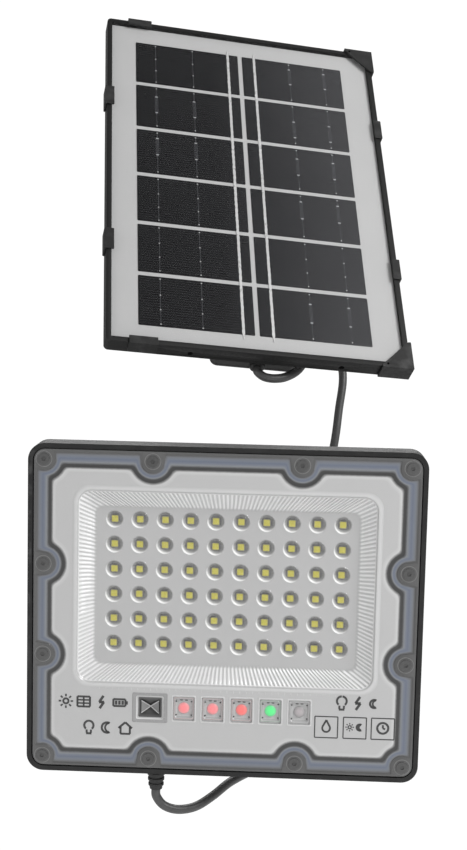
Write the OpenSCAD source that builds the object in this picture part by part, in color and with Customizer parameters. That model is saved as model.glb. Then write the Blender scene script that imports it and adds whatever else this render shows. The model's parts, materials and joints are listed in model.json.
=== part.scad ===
// Solar flood light: a tilting LED lamp on a U-bracket and a separate solar panel
// on a swivelling and tilting wall arm, joined by a cable with a plug-in connector.
// Frame: the wall is the plane Y = 0, the lamp faces -Y, +Z is up and the origin is
// the middle of the lamp bracket's wall holes.

/* [Lamp] */
// Width of the lamp housing
lamp_w = 210; // [206:1:216]
// Height of the lamp housing
lamp_h = 178; // [174:1:184]
// Depth of the shallow front tray
tray_depth = 16; // [15:0.5:18]
// Corner radius of the front rim
lamp_corner = 9; // [6:0.5:14]
// Thickness of the front lens sheet
lens_t = 2.5; // [2:0.1:3]
// LED columns
led_cols = 10; // [8:1:10]
// LED rows
led_rows = 6; // [4:1:6]
// LED pitch across
led_pitch_x = 13.45; // [13:0.05:13.5]
// LED pitch down
led_pitch_z = 13.5; // [13:0.05:13.6]
// Downward aim of the lamp at rest, in degrees
lamp_aim = 19.5; // [0:0.5:30]

/* [Lamp bracket] */
// Distance of the lamp's pivot from the wall
pivot_out = 100; // [95:1:120]
// Clear width between the bracket's arms
bracket_gap = 140; // [139.6:0.1:142]
// Thickness of the bracket strip
strip_t = 3; // [2.5:0.5:3]
// Width of the bracket strip
strip_w = 26; // [22:1:28]

/* [Solar panel] */
// Width of the panel frame
panel_w = 168; // [166:1:176]
// Height of the panel frame
panel_h = 243; // [240:1:250]
// Depth of the panel frame
panel_d = 9; // [8.6:0.2:12]
// Width of the frame's rim round the laminate
rim = 3; // [2.5:0.1:4]
// Width of one solar cell
cell_w = 63.8; // [60:0.1:64]
// Height of one solar cell
cell_h = 33.4; // [32:0.1:34]
// Gap between cells
cell_gap = 2.7; // [2:0.1:3]
// Rows of cells
cell_rows = 6; // [4:1:6]

/* [Panel arm] */
// Length of the arm from the swivel axis to the tilt axis
arm_len = 48; // [44:1:60]
// Turn of the panel towards +X at rest, in degrees
panel_yaw = 14.5; // [0:0.5:30]
// Backward lean of the panel at rest, in degrees
panel_tilt = 20; // [0:1:40]
// Height of the arm above the lamp bracket
arm_z = 228; // [226:1:260]

/* [Cable] */
// Cable diameter
cable_d = 5; // [4:0.5:5]
// Mean radius of the stored coil
coil_r = 28.5; // [28:0.5:29]

/* [Hidden] */
$fn = 32;

// Lamp: local Y = 0 is the pivot, the rim's front is at lamp_front
lamp_front = -31;
tray_back = lamp_front + tray_depth;
wall = 2.5;
rim_t = 2.6;
lens_w = lamp_w - 2 * rim_t - 0.6;
lens_h = lamp_h - 2 * rim_t - 0.6;
lens_y = lamp_front + 0.2;
lens_back = lens_y + lens_t;
gasket_t = 2;
ledge_y = lens_back + gasket_t;
floor_y = tray_back - 2;
tub_w = 130;
tub_h = 110;
tub_back = 11;
lug_x = 69.5;
screw_x = lamp_w / 2 - 8.4;
screw_z = lamp_h / 2 - 8.4;
screw_mid_x = 39.2;
screw_mid_z = 24.6;
LENS_SCREWS = concat(
  [for (sx = [-1, 1], sz = [-1, 1]) [sx * screw_x, sz * screw_z]],
  [for (sx = [-1, 1], sz = [-1, 1]) [sx * screw_mid_x, sz * screw_z]],
  [for (sx = [-1, 1], sz = [-1, 1]) [sx * screw_x, sz * screw_mid_z]]);
recess_x = 0.5;
recess_z = 12.6;
recess_w = 156;
recess_h = 102;
recess_floor_w = 139;
recess_floor_h = 84;
recess_d = 5.5;
recess_t = 2;
led_x = 1;
led_z = 14.7;
window_z = -52.5;
window_pitch = 15.45;
window_x = 10.2;
ir_x = -38.8;
gland_x = -35.5;
gland_y = -23;
gland_len = 11;
spreader_post_x = 67;
BOARD_X = [26, 50];

// Panel: local Y = 0 is the laminate's front plane, the tilt axis is at tilt_back
tilt_back = 36;
sheet_w = panel_w - 2 * rim;
sheet_h = panel_h - 2 * rim;
cells_x = -1.1;
cells_z = -1.1;
frame_front = -1;
frame_back = frame_front + panel_d;
box_x = 1;
box_w = 48;
box_h = 48;
box_z = -90;
box_back = frame_back + 14;

// Arm: local origin on the swivel axis, the tilt axis is at Y = -arm_len
swivel = [-15, -32, arm_z];
eye_r = 9;
bolt_r = 2.75;
bore_r = 3.1;

// Coil of spare cable, hung over the right arm of the lamp bracket
coil_c = [66.5, -16, -4];
coil_radial = 20;
coil_axial = 22;
plug_at = [44.5, -34.2, 0];

// Routes of the cable's free stretches
// Junction box to the arm's underside: points on the panel, then points on the arm
UPPER_ON_PANEL = [[2, 17, -118.6], [2.1, 17, -120.6], [5.4, 17, -123.4], [11, 17, -124], [18, 17.5, -121.8],
  [26, 19, -115], [31.5, 22, -103], [33, 26, -84], [31, 32, -62], [22, 38, -40], [10, 43, -26]];
UPPER_ON_ARM = [[3, -42, -15], [0.4, -34, -11], [0, -28.3, -10.6]];
// The arm's underside to the coil: points on the arm, then points in the wall's frame
LOWER_ON_ARM = [[0, -27.7, -10.6], [0.2, -22, -10.8], [3, -17, -14.5], [8, -15.5, -22]];
LOWER_DROP = [[4, -46, 196], [15, -50, 187], [32, -57, 176], [50, -64, 163], [60, -68.6, 149],
  [62.9, -70, 136], [60.9, -70, 117], [58.3, -69, 95], [52, -61, 66], [43, -47, 42],
  [34.6, -33, 19], [31, -25.6, 4], [30.5, -24, -4]];
// Out of the coil's innermost turn, over its front and down into the plug
PLUG_ROUTE = [[77, -24, 14.2], [70, -25.4, 17], [63, -27.6, 17.4], [56, -29.6, 16.2], [50, -31.9, 12.6],
  [46, -33.8, 7.6], [44.5, -34.2, 3]];
// Lamp gland, loop under the lamp, up into the socket
LAMP_ROUTE = [[-35.5, -88.2, -102.1], [-35.2, -86.7, -106.2], [-31, -84.8, -111], [-23.4, -82.5, -113],
  [-14, -79, -111.2], [-5, -74.2, -105.4], [4, -67.8, -98], [15.6, -58.6, -91.6], [30, -46.4, -85],
  [41, -36.9, -75], [44.4, -34.3, -66], [44.5, -34.2, -59.2]];

// ---------- frames of the moving bodies ----------
module in_lamp() { translate([0, -pivot_out, 0]) rotate([lamp_aim, 0, 0]) children(); }
module in_arm() { translate(swivel) rotate([0, 0, panel_yaw]) children(); }
module in_panel() {
  in_arm() translate([0, -arm_len, 0]) rotate([-panel_tilt, 0, 0])
    translate([0, -tilt_back, 0]) children();
}
function turn_x(p, a) = [p.x, p.y * cos(a) - p.z * sin(a), p.y * sin(a) + p.z * cos(a)];
function turn_z(p, a) = [p.x * cos(a) - p.y * sin(a), p.x * sin(a) + p.y * cos(a), p.z];
function arm_point(p) = swivel + turn_z(p, panel_yaw);
function panel_point(p) = arm_point([0, -arm_len, 0] + turn_x(p - [0, tilt_back, 0], -panel_tilt));

// ---------- shared shapes ----------
// Outline in X and Z, extruded along Y from y0 to y1
module slab(y0, y1) { translate([0, y1, 0]) rotate([90, 0, 0]) linear_extrude(y1 - y0) children(); }
module rounded(w, h, r) {
  square([w - 2 * r, h], center = true);
  square([w, h - 2 * r], center = true);
  for (sx = [-1, 1], sz = [-1, 1]) translate([sx * (w / 2 - r), sz * (h / 2 - r)]) circle(r);
}
module along_y(x, z, r, y0, y1) { translate([x, y1, z]) rotate([90, 0, 0]) cylinder(r = r, h = y1 - y0); }
module along_x(y, z, r, x0, x1) { translate([x0, y, z]) rotate([0, 90, 0]) cylinder(r = r, h = x1 - x0); }
// The front's outline set in from the rim, with a round bite at each lens screw
module scalloped(inset, bite) {
  difference() {
    rounded(lamp_w - 2 * inset, lamp_h - 2 * inset, 3);
    for (p = LENS_SCREWS) translate(p) circle(bite);
  }
}
module screw(x, z, r, head_r, head_y, head_t, len) {
  difference() {
    union() {
      along_y(x, z, head_r, head_y, head_y + head_t);
      along_y(x, z, r, head_y + head_t - 0.1, head_y + head_t + len);
    }
    translate([x, head_y + head_t * 0.3, z]) rotate([90, 0, 0]) cylinder(r = head_r * 0.4, h = head_t, $fn = 6);
  }
}
// Flat ring of a cable tie round a rectangle w by d, in X and Y, with its latch
module tie(w, d, band = 1.2, tall = 4) {
  difference() {
    linear_extrude(tall, center = true) square([w + 2 * band, d + 2 * band], center = true);
    linear_extrude(tall + 1, center = true) square([w, d], center = true);
  }
  translate([0, -d / 2 - band - 1.9, 0]) cube([5.5, 4, tall + 1.4], center = true);
}

// ---------- cable tubes ----------
function spline(p, i, t) = let (
    a = p[max(i - 1, 0)], b = p[i], c = p[i + 1], d = p[min(i + 2, len(p) - 1)])
  0.5 * (2 * b + (c - a) * t + (2 * a - 5 * b + 4 * c - d) * t * t + (3 * b - a - 3 * c + d) * t * t * t);
function smooth_path(p, n) = concat(
  [for (i = [0:len(p) - 2], k = [0:n - 1]) spline(p, i, k / n)], [p[len(p) - 1]]);
function unit(v) = v / norm(v);
function tangent(p, i) = i == 0 ? unit(p[1] - p[0])
  : i == len(p) - 1 ? unit(p[i] - p[i - 1]) : unit(p[i + 1] - p[i - 1]);
function side_of(t, last) = unit(last - (last * t) * t);
function sides(p, i = 0, last = [0.31, 0.17, 0.93]) = i == len(p) ? []
  : let (s = side_of(tangent(p, i), last)) concat([s], sides(p, i + 1, s));
module tube(p, d, n = 8) {
  s = sides(p);
  r = d / 2;
  points = [for (i = [0:len(p) - 1]) let (t = tangent(p, i), u = s[i], v = cross(t, u))
    for (k = [0:n - 1]) p[i] + r * (cos(360 * k / n) * u + sin(360 * k / n) * v)];
  m = len(p);
  walls = [for (i = [0:m - 2], k = [0:n - 1]) let (a = i * n + k, b = i * n + (k + 1) % n)
    each [[a, b, b + n], [a, b + n, a + n]]];
  polyhedron(points, concat([[for (k = [0:n - 1]) n - 1 - k]], walls,
    [[for (k = [0:n - 1]) (m - 1) * n + k]]), convexity = 6);
}

// ---------- lamp ----------
module rear_housing() {
  color("#1d1d1e") in_lamp() difference() {
    union() {
      slab(lamp_front, tray_back) rounded(lamp_w, lamp_h, lamp_corner);
      slab(tray_back - 0.01, tub_back) rounded(tub_w, tub_h, 10);
      // cooling fins on the back of the tub and on the tray beside it
      for (i = [-5:5]) translate([i * 11 - 1, tub_back - 1, -tub_h / 2 + 6]) cube([2, 4.5, tub_h - 12]);
      for (s = [-1, 1], i = [0:2])
        translate([s * (76 + i * 9) - 1, tray_back - 1, -lamp_h / 2 + 18]) cube([2, 4, lamp_h - 36]);
      for (s = [-1, 1]) mirror([s < 0 ? 1 : 0, 0, 0]) along_x(0, 0, 11, 58, lug_x);
    }
    // lens seat and cavity of the tray
    slab(lamp_front - 1, ledge_y) rounded(lens_w + 0.6, lens_h + 0.6, lamp_corner - 2.3);
    slab(ledge_y - 1, floor_y) scalloped(12.2, 10.4);
    // tub cavity, kept clear of the pivot bosses
    difference() {
      slab(floor_y - 1, tub_back - wall) rounded(tub_w - 2 * wall, tub_h - 2 * wall, 8);
      for (s = [-1, 1]) mirror([s < 0 ? 1 : 0, 0, 0]) along_x(0, 0, 8, 56, lug_x);
    }
    for (s = [-1, 1]) mirror([s < 0 ? 1 : 0, 0, 0]) along_x(0, 0, bolt_r, 59, lug_x + 1);
    for (p = LENS_SCREWS) along_y(p.x, p.y, 1.5, ledge_y - 1, ledge_y + 7);
    translate([gland_x, gland_y, -lamp_h / 2 - 1]) {
      cylinder(r = 3.5, h = 7.2);
      cylinder(r = 2.1, h = 16);
    }
  }
  // posts for the heat spreader and for the boards and the battery cradle
  color("#1d1d1e") in_lamp() {
    for (sx = [-1, 1], z = [-22, 46]) difference() {
      along_y(sx * spreader_post_x, z, 3.4, floor_y - 1.6, floor_y + 1);
      along_y(sx * spreader_post_x, z, 1.25, floor_y - 2, floor_y + 0.8);
    }
    for (x = [-47, 49]) along_y(x, -57, 2.2, -21.8, floor_y + 1);
    for (x = BOARD_X, z = [-38, 38]) difference() {
      along_y(x, z, 3, -2, tub_back - 2);
      along_y(x, z, 1.15, -3, 4);
    }
    for (x = [-48, 4], z = [-40, 40]) difference() {
      along_y(x, z, 3, 0, tub_back - 2);
      along_y(x, z, 1.15, -1, 6);
    }
  }
}
module lens_gasket() {
  color("#77808c") in_lamp() slab(lens_back, ledge_y) difference() {
    scalloped(4.6, 6.4);
    scalloped(10.6, 9.2);
  }
}
module front_lens() {
  color("#e4e6e8", 0.7) in_lamp() difference() {
    union() {
      slab(lens_y, lens_back) rounded(lens_w, lens_h, lamp_corner - 2.6);
      hull() {
        slab(lens_y, lens_back) translate([recess_x, recess_z]) rounded(recess_w + 2, recess_h + 2, 8);
        slab(lens_y, lens_y + recess_d + recess_t) translate([recess_x, recess_z])
          rounded(recess_floor_w + 2, recess_floor_h + 2, 7);
      }
    }
    hull() {
      slab(lens_y - 0.01, lens_y) translate([recess_x, recess_z]) rounded(recess_w, recess_h, 8);
      slab(lens_y - 0.01, lens_y + recess_d) translate([recess_x, recess_z])
        rounded(recess_floor_w, recess_floor_h, 7);
    }
    for (i = [-2:2]) slab(lens_y - 1, lens_y + 0.9)
      translate([window_x + i * window_pitch, window_z]) square([13, 14.6], center = true);
    slab(lens_y - 1, lens_y + 0.9) translate([ir_x, window_z]) square([19, 16.3], center = true);
    for (p = LENS_SCREWS) {
      along_y(p.x, p.y, 1.9, lens_y - 1, lens_back + 1);
      along_y(p.x, p.y, 3.3, lens_y - 1, lens_y + 1.2);
    }
  }
  // one low dome over each LED, standing on the recess floor
  color("#eef0f2", 0.7) in_lamp() for (p = LED_POINTS) intersection() {
    translate([p.x, lens_y + recess_d + 2.6, p.y]) sphere(r = 4.9);
    along_y(p.x, p.y, 6, lens_y + 1, lens_y + recess_d + 0.3);
  }
}
LED_POINTS = [for (i = [0:led_cols - 1], k = [0:led_rows - 1])
  [led_x + (i - (led_cols - 1) / 2) * led_pitch_x, led_z + (k - (led_rows - 1) / 2) * led_pitch_z]];
spread_y = floor_y - 1.6;
board_y = spread_y - 2;
module reflector_plate() {
  color("#f2f2f0") in_lamp() slab(ledge_y - 1.1, ledge_y) difference() {
    scalloped(11, 9.6);
    translate([recess_x, recess_z]) rounded(recess_w + 4, recess_h + 4, 9);
    for (i = [-2:2]) translate([window_x + i * window_pitch, window_z]) square([11, 12], center = true);
    translate([ir_x, window_z]) square([16, 13], center = true);
  }
}
module led_board() {
  color("#f4f4f4") in_lamp() slab(board_y - 1.6, board_y) difference() {
    translate([led_x, led_z]) rounded(138, 84, 3);
    for (sx = [-1, 1], z = [-22, 46]) translate([sx * spreader_post_x, z]) circle(2.6);
  }
}
module leds() {
  color("#c9c052") in_lamp() for (p = LED_POINTS)
    translate([p.x, board_y - 2, p.y]) cube([4, 0.8, 4], center = true);
}
module heat_spreader() {
  color("#b9bcc0") in_lamp() slab(board_y, spread_y) difference() {
    translate([0, led_z]) rounded(146, 86, 3);
    for (sx = [-1, 1], z = [-22, 46]) translate([sx * spreader_post_x, z]) circle(1.6);
  }
}
module spreader_screws() {
  color("#8c9094") in_lamp() for (sx = [-1, 1], z = [-22, 46])
    screw(sx * spreader_post_x, z, 1.2, 2.4, board_y - 1.5, 1.5, 3.5);
}
module indicator_board() {
  color("#2f6b3c") in_lamp() slab(-23.4, -21.8) translate([1, window_z]) square([104, 15], center = true);
}
module indicator_leds() {
  color("#d8d4cc") in_lamp() for (i = [-2:2])
    along_y(window_x + i * window_pitch, window_z, 2.5, -26.2, -23.4);
}
module ir_receiver() {
  color("#2a2630") in_lamp() {
    slab(-26, -23.4) translate([ir_x, window_z]) square([7, 8], center = true);
    along_y(ir_x, window_z, 2.4, -26.6, -25.9);
  }
}
module battery_cells() {
  color("#3d78b8") in_lamp() for (z = [-20, 0, 20]) along_x(-2, z, 9.2, -55, 10);
}
module battery_cradle() {
  color("#26272a") in_lamp() difference() {
    union() {
      for (x = [-48, 1]) translate([x, -5.2, -33]) cube([6, 13.6, 66]);
      for (x = [-48, 4], s = [-1, 1]) translate([x - 3, -2, s > 0 ? 32 : -44]) cube([9, 2, 12]);
    }
    for (z = [-20, 0, 20]) along_x(-2, z, 9.3, -60, 20);
    for (x = [-48, 4], z = [-40, 40]) along_y(x, z, 1.4, -3, 1);
  }
}
module cradle_screws() {
  color("#8c9094") in_lamp() for (x = [-48, 4], z = [-40, 40]) screw(x, z, 1.1, 2.2, -3.5, 1.5, 5);
}
module control_board() {
  color("#2f6b3c") in_lamp() slab(-3.6, -2) difference() {
    translate([38, 0]) square([34, 90], center = true);
    for (x = BOARD_X, z = [-38, 38]) translate([x, z]) circle(1.4);
  }
}
module charge_inductor() {
  color("#6b4a2a") in_lamp() difference() {
    along_y(32, 18, 7.5, -10.6, -3.6);
    along_y(32, 18, 3, -11, -3);
  }
}
module driver_parts() {
  color("#3a3a3c") in_lamp() {
    for (z = [-12, 2]) along_y(48, z, 4, -12.6, -3.6);
    translate([27, -5.2, -26]) cube([9, 1.6, 12]);
    translate([43, -6.6, 22]) cube([10, 3, 8]);
    translate([27, -9.6, -8]) cube([8, 6, 10]);
  }
}
module board_screws() {
  color("#8c9094") in_lamp() for (x = BOARD_X, z = [-38, 38]) screw(x, z, 1.1, 2.2, -5.1, 1.5, 5);
}
module lens_screws() {
  color("#77797c") in_lamp() for (p = LENS_SCREWS) screw(p.x, p.y, 1.45, 3, lens_y - 0.6, 1.7, 8);
}
module lamp_gland() {
  color("#161617") in_lamp() translate([gland_x, gland_y, -lamp_h / 2]) difference() {
    union() {
      cylinder(r = 3.4, h = 6);
      translate([0, 0, -gland_len]) cylinder(r1 = 3.4, r2 = 4.2, h = gland_len, $fn = 24);
      for (i = [0:2]) translate([0, 0, -3 - i * 3]) cylinder(r = 4.8 - i * 0.3, h = 1.6);
    }
    translate([0, 0, -1]) cylinder(r = cable_d / 2, h = 8);
  }
}
module lamp_pivot_bolts() {
  color("#7e8286") in_lamp() for (s = [0, 1]) mirror([s, 0, 0]) difference() {
    union() {
      along_x(0, 0, bolt_r - 0.02, 60, 75.2);
      along_x(0, 0, 5, 75.1, 80);
    }
    translate([78, 0, 0]) rotate([0, 90, 0]) cylinder(r = 2.9, h = 3, $fn = 6);
  }
}
module lamp_pivot_washers() {
  color("#a2a6aa") in_lamp() for (s = [0, 1]) mirror([s, 0, 0]) difference() {
    along_x(0, 0, 7, bracket_gap / 2 + strip_t + 0.4, 75.1);
    along_x(0, 0, bolt_r + 0.1, 70, 80);
  }
}
module u_bracket() {
  inner = bracket_gap / 2;
  bend = 4;
  color("#2b2c2e") difference() {
    union() {
      translate([-inner + bend, -strip_t, -strip_w / 2]) cube([2 * (inner - bend), strip_t, strip_w]);
      for (s = [0, 1]) mirror([s, 0, 0]) {
        translate([inner, -pivot_out, -strip_w / 2]) cube([strip_t, pivot_out - strip_t - bend, strip_w]);
        along_x(-pivot_out, 0, strip_w / 2, inner, inner + strip_t);
        intersection() {
          translate([inner - bend, -strip_t - bend, -strip_w / 2]) difference() {
            cylinder(r = bend + strip_t, h = strip_w);
            translate([0, 0, -1]) cylinder(r = bend, h = strip_w + 2);
          }
          translate([inner - bend, -strip_t - bend, -strip_w]) cube([20, 20, 2 * strip_w]);
        }
      }
    }
    for (s = [-1, 1]) mirror([s < 0 ? 1 : 0, 0, 0])
      along_x(-pivot_out, 0, bolt_r + 0.4, inner - 1, inner + strip_t + 1);
    along_y(0, 0, 4.25, -strip_t - 1, 1);
    for (s = [-1, 1]) slab(-strip_t - 1, 1) translate([s * 24, 0]) {
      square([12, 6.5], center = true);
      for (e = [-6, 6]) translate([e, 0]) circle(3.25);
    }
  }
}

// ---------- solar panel ----------
module panel_frame() {
  color("#212122") in_panel() difference() {
    slab(frame_front, frame_back) rounded(panel_w, panel_h, 2.5);
    slab(frame_front - 1, 2.7) square([sheet_w + 0.2, sheet_h + 0.2], center = true);
    // pockets that leave a grid of ribs behind the laminate
    for (i = [-1, 1], k = [0:5])
      slab(2.6, frame_back - 2) difference() {
        translate([i * 39, (k - 2.5) * 38]) rounded(72, 33, 3);
        for (z = [-18, 18]) translate([i * 22, z]) circle(4);
      }
    for (x = [-38, 46]) translate([x, 4.6, -panel_h / 2 - 1]) cylinder(r = 1.5, h = 3.4);
    for (x = [-22, 22], z = [-18, 18]) along_y(x, z, 1.3, 4, frame_back + 1);
    along_y(box_x, box_z, 4, 0, frame_back + 1);
  }
}
module cell_places() {
  for (c = [-1, 1], k = [0:cell_rows - 1])
    translate([cells_x + c * (cell_w + cell_gap) / 2,
      cells_z + (k - (cell_rows - 1) / 2) * (cell_h + cell_gap)]) children();
}
module panel_backsheet() {
  color("#d9dadb") in_panel() slab(1.4, 2.6) square([sheet_w, sheet_h], center = true);
}
module solar_cells() {
  color("#22242a") in_panel() slab(1.1, 1.38) cell_places() square([cell_w, cell_h], center = true);
}
module cell_ribbons() {
  color("#d6d8da") in_panel() slab(0.92, 1.08) for (f = [-0.1, 0.12])
    translate([cells_x + (f < 0 ? f * cell_w - cell_gap / 2 : f * cell_w + cell_gap / 2), cells_z])
      square([1.35, cell_rows * (cell_h + cell_gap) + 3], center = true);
}
module panel_front_sheet() {
  color("#e8ecf0", 0.25) in_panel() slab(0, 0.9) square([sheet_w, sheet_h], center = true);
}
// A clip over the frame's edge: len along the edge, lip over the laminate
module clip(len, lip) {
  translate([-len / 2, frame_front - 1.2, -lip]) cube([len, 1.1, lip + 1.3]);
  translate([-len / 2, frame_front - 1.2, 0.1]) cube([len, panel_d - 1, 1.2]);
}
module laminate_clips() {
  color("#2c2c2d") in_panel() {
    translate([-64, 0, panel_h / 2]) clip(14.5, 3.8);
    translate([-64, 0, -panel_h / 2]) rotate([0, 180, 0]) clip(15.5, 3.8);
    for (z = [-53.5, 55.5]) {
      translate([-panel_w / 2, 0, z]) rotate([0, -90, 0]) clip(14.3, 4.2);
      translate([panel_w / 2, 0, z]) rotate([0, 90, 0]) clip(14.3, 3.6);
    }
  }
}
module corner_cap() {
  leg = 16.5;
  slab(frame_front - 1.4, frame_front - 0.1) difference() {
    polygon([[1.4, 1.4], [-leg, 1.4], [-leg, 0], [-2, -leg + 1.5], [0, -leg], [1.4, -leg]]);
    translate([-leg + 3, -0.8]) circle(0.7);
  }
  translate([0.1, frame_front - 1.4, -leg]) cube([1.3, panel_d + 1.4, leg + 1.4]);
  translate([-leg, frame_front - 1.4, 0.1]) cube([leg + 0.2, panel_d + 1.4, 1.3]);
}
module corner_caps() {
  color("#2e2e2f") in_panel() for (s = [0, 1]) mirror([0, 0, s])
    translate([panel_w / 2, 0, panel_h / 2]) corner_cap();
}
module junction_box() {
  color("#191a1b") in_panel() difference() {
    slab(frame_back, box_back) translate([box_x, box_z]) rounded(box_w, box_h, 4);
    difference() {
      slab(frame_back + 2, box_back + 1) translate([box_x, box_z]) rounded(box_w - 4, box_h - 4, 2.5);
      for (sx = [-1, 1], sz = [-1, 1])
        along_y(box_x + sx * 19, box_z + sz * 19, 3.6, frame_back, box_back);
    }
    for (sx = [-1, 1], sz = [-1, 1])
      along_y(box_x + sx * 19, box_z + sz * 19, 1.15, box_back - 7, box_back + 1);
    along_y(box_x, box_z, 4, frame_back - 1, frame_back + 3);
    translate([2, 17, box_z - box_h / 2 - 1]) cylinder(r = 3.5, h = 4);
  }
}
module junction_lid() {
  color("#1f2021") in_panel() slab(box_back + 0.05, box_back + 2) difference() {
    translate([box_x, box_z]) rounded(box_w, box_h, 4);
    for (sx = [-1, 1], sz = [-1, 1]) translate([box_x + sx * 19, box_z + sz * 19]) circle(1.5);
  }
}
module junction_lid_screws() {
  color("#85898d") in_panel() for (sx = [-1, 1], sz = [-1, 1])
    translate([box_x + sx * 19, box_back + 2, box_z + sz * 19]) rotate([0, 0, 180])
      screw(0, 0, 1.1, 2.3, -1.5, 1.5, 7);
}
module diode_board() {
  color("#2f6b3c") in_panel() {
    slab(frame_back + 4, frame_back + 5.6) translate([box_x, box_z + 2]) square([30, 22], center = true);
    for (x = [-9, 9]) along_y(box_x + x, box_z - 2, 2, frame_back + 2, frame_back + 4);
    translate([box_x - 6, frame_back + 7, box_z + 4]) rotate([0, 90, 0]) cylinder(r = 1.4, h = 12);
  }
}
module panel_gland() {
  color("#161617") in_panel() translate([2, 17, box_z - box_h / 2]) difference() {
    union() {
      translate([0, 0, -4]) cylinder(r = 4.3, h = 4);
      cylinder(r = 3.4, h = 4);
    }
    translate([0, 0, -1]) cylinder(r = cable_d / 2, h = 7);
  }
}
module panel_bracket() {
  color("#2b2c2e") in_panel() difference() {
    union() {
      slab(frame_back, frame_back + 2.5) rounded(60, 50, 4);
      for (s = [0, 1]) mirror([s, 0, 0]) {
        translate([10.6, frame_back + 1, -eye_r]) cube([3, tilt_back - frame_back - 1, 2 * eye_r]);
        along_x(tilt_back, 0, eye_r, 10.6, 13.6);
      }
    }
    along_x(tilt_back, 0, bore_r, -20, 20);
    for (x = [-22, 22], z = [-18, 18]) along_y(x, z, 1.8, frame_back - 1, frame_back + 4);
  }
}
module panel_bracket_screws() {
  color("#85898d") in_panel() for (x = [-22, 22], z = [-18, 18])
    translate([x, frame_back + 2.5, z]) rotate([0, 0, 180]) screw(0, 0, 1.25, 3, -2, 2, 5.5);
}
module tilt_bolt() {
  color("#85898d") in_panel() {
    along_x(tilt_back, 0, bolt_r, -13.7, 24);
    translate([-18, tilt_back, 0]) rotate([0, 90, 0]) cylinder(r = 5.8, h = 4.3, $fn = 6);
  }
}
module tilt_wing_nut() {
  color("#9a9ea2") in_panel() translate([13.8, tilt_back, 0]) rotate([0, 90, 0]) difference() {
    union() {
      cylinder(r = 5.2, h = 5);
      for (s = [-1, 1]) translate([0, s * 9, 4.2]) rotate([s * -28, 0, 0])
        translate([-1.1, -6, -2.2]) cube([2.2, 12, 5.5]);
    }
    translate([0, 0, -6]) cylinder(r = bolt_r + 0.03, h = 20);
    translate([-10, -20, -10]) cube([20, 40, 10]);
  }
}

// ---------- panel arm and wall plate ----------
module bracket_arm() {
  color("#2b2c2e") in_arm() difference() {
    union() {
      translate([0, 0, -12]) cylinder(r = eye_r, h = 24);
      translate([-5, -arm_len + 4, -8]) cube([10, arm_len - 8, 16]);
      along_x(-arm_len, 0, eye_r, -10, 10);
    }
    translate([0, 0, -13]) cylinder(r = bore_r, h = 26);
    along_x(-arm_len, 0, bore_r, -12, 12);
  }
}
module arm_cable_tie() {
  color("#1b1b1c") in_arm() translate([0, -28, -2.5]) rotate([90, 0, 0]) rotate(180) tie(10.8, 21.8, 1.1, 4);
}
module wall_plate() {
  color("#2b2c2e") translate([swivel.x, 0, swivel.z]) difference() {
    union() {
      slab(-3, 0) rounded(60, 60, 5);
      for (s = [0, 1]) mirror([0, 0, s]) translate([0, 0, 12.4]) {
        translate([-10, swivel.y, 0]) cube([20, -swivel.y - 1, 4]);
        translate([0, swivel.y, 0]) cylinder(r = 10, h = 4);
      }
    }
    translate([0, swivel.y, -30]) cylinder(r = bore_r, h = 60);
    for (sx = [-1, 1], sz = [-1, 1]) along_y(sx * 22, sz * 22, 2.75, -4, 1);
  }
}
module swivel_bolt() {
  color("#85898d") translate(swivel) {
    translate([0, 0, -25]) cylinder(r = bolt_r, h = 42);
    translate([0, 0, 16.5]) cylinder(r = 5.8, h = 4, $fn = 6);
  }
}
module swivel_nut() {
  color("#9a9ea2") translate(swivel) difference() {
    translate([0, 0, -21.9]) cylinder(r = 5.8, h = 5.4, $fn = 6);
    translate([0, 0, -30]) cylinder(r = bolt_r + 0.03, h = 20);
  }
}

// ---------- cable ----------
module panel_lead_upper() {
  route = concat([for (p = UPPER_ON_PANEL) panel_point(p)], [for (p = UPPER_ON_ARM) arm_point(p)]);
  color("#252526") tube(smooth_path(route, 2), cable_d);
}
module panel_lead_lower() {
  route = concat([for (p = LOWER_ON_ARM) arm_point(p)], LOWER_DROP);
  color("#252526") tube(smooth_path(route, 2), cable_d);
}
module panel_lead_end() { color("#252526") tube(smooth_path(PLUG_ROUTE, 2), cable_d); }
module cable_coil() {
  color("#232324") translate(coil_c) rotate([90, 0, 0]) rotate_extrude($fn = 64)
    translate([coil_r, 0]) square([coil_radial, coil_axial], center = true);
}
module coil_tie_side() {
  color("#1b1b1c") translate([39.25, -22.6, -9]) tie(23, 35.6);
}
module coil_tie_bottom() {
  color("#1b1b1c") translate(coil_c - [0, 0, coil_r]) rotate([0, 90, 0])
    tie(coil_radial + 0.6, coil_axial + 0.6);
}
module plug() {
  color("#141415") translate(plug_at) difference() {
    union() {
      translate([0, 0, -7]) cylinder(r1 = 4.8, r2 = 3.5, h = 10, $fn = 24);
      translate([0, 0, -27]) cylinder(r = 6, h = 20);
      translate([0, 0, -36]) cylinder(r = 3.4, h = 9.5);
    }
    translate([0, 0, 1]) cylinder(r = cable_d / 2, h = 3);
  }
}
module plug_nut() {
  color("#1c1c1d") translate(plug_at) difference() {
    translate([0, 0, -33]) cylinder(r = 7, h = 14);
    translate([0, 0, -34]) cylinder(r = 6.1, h = 16);
  }
}
module socket() {
  color("#141415") translate(plug_at) difference() {
    union() {
      translate([0, 0, -47]) cylinder(r = 6, h = 19.9);
      translate([0, 0, -59]) cylinder(r1 = 3.5, r2 = 4.8, h = 12, $fn = 24);
    }
    translate([0, 0, -37]) cylinder(r = 3.5, h = 11);
  }
}
module lamp_lead() {
  color("#252526") tube(smooth_path(LAMP_ROUTE, 2), cable_d);
}

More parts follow.
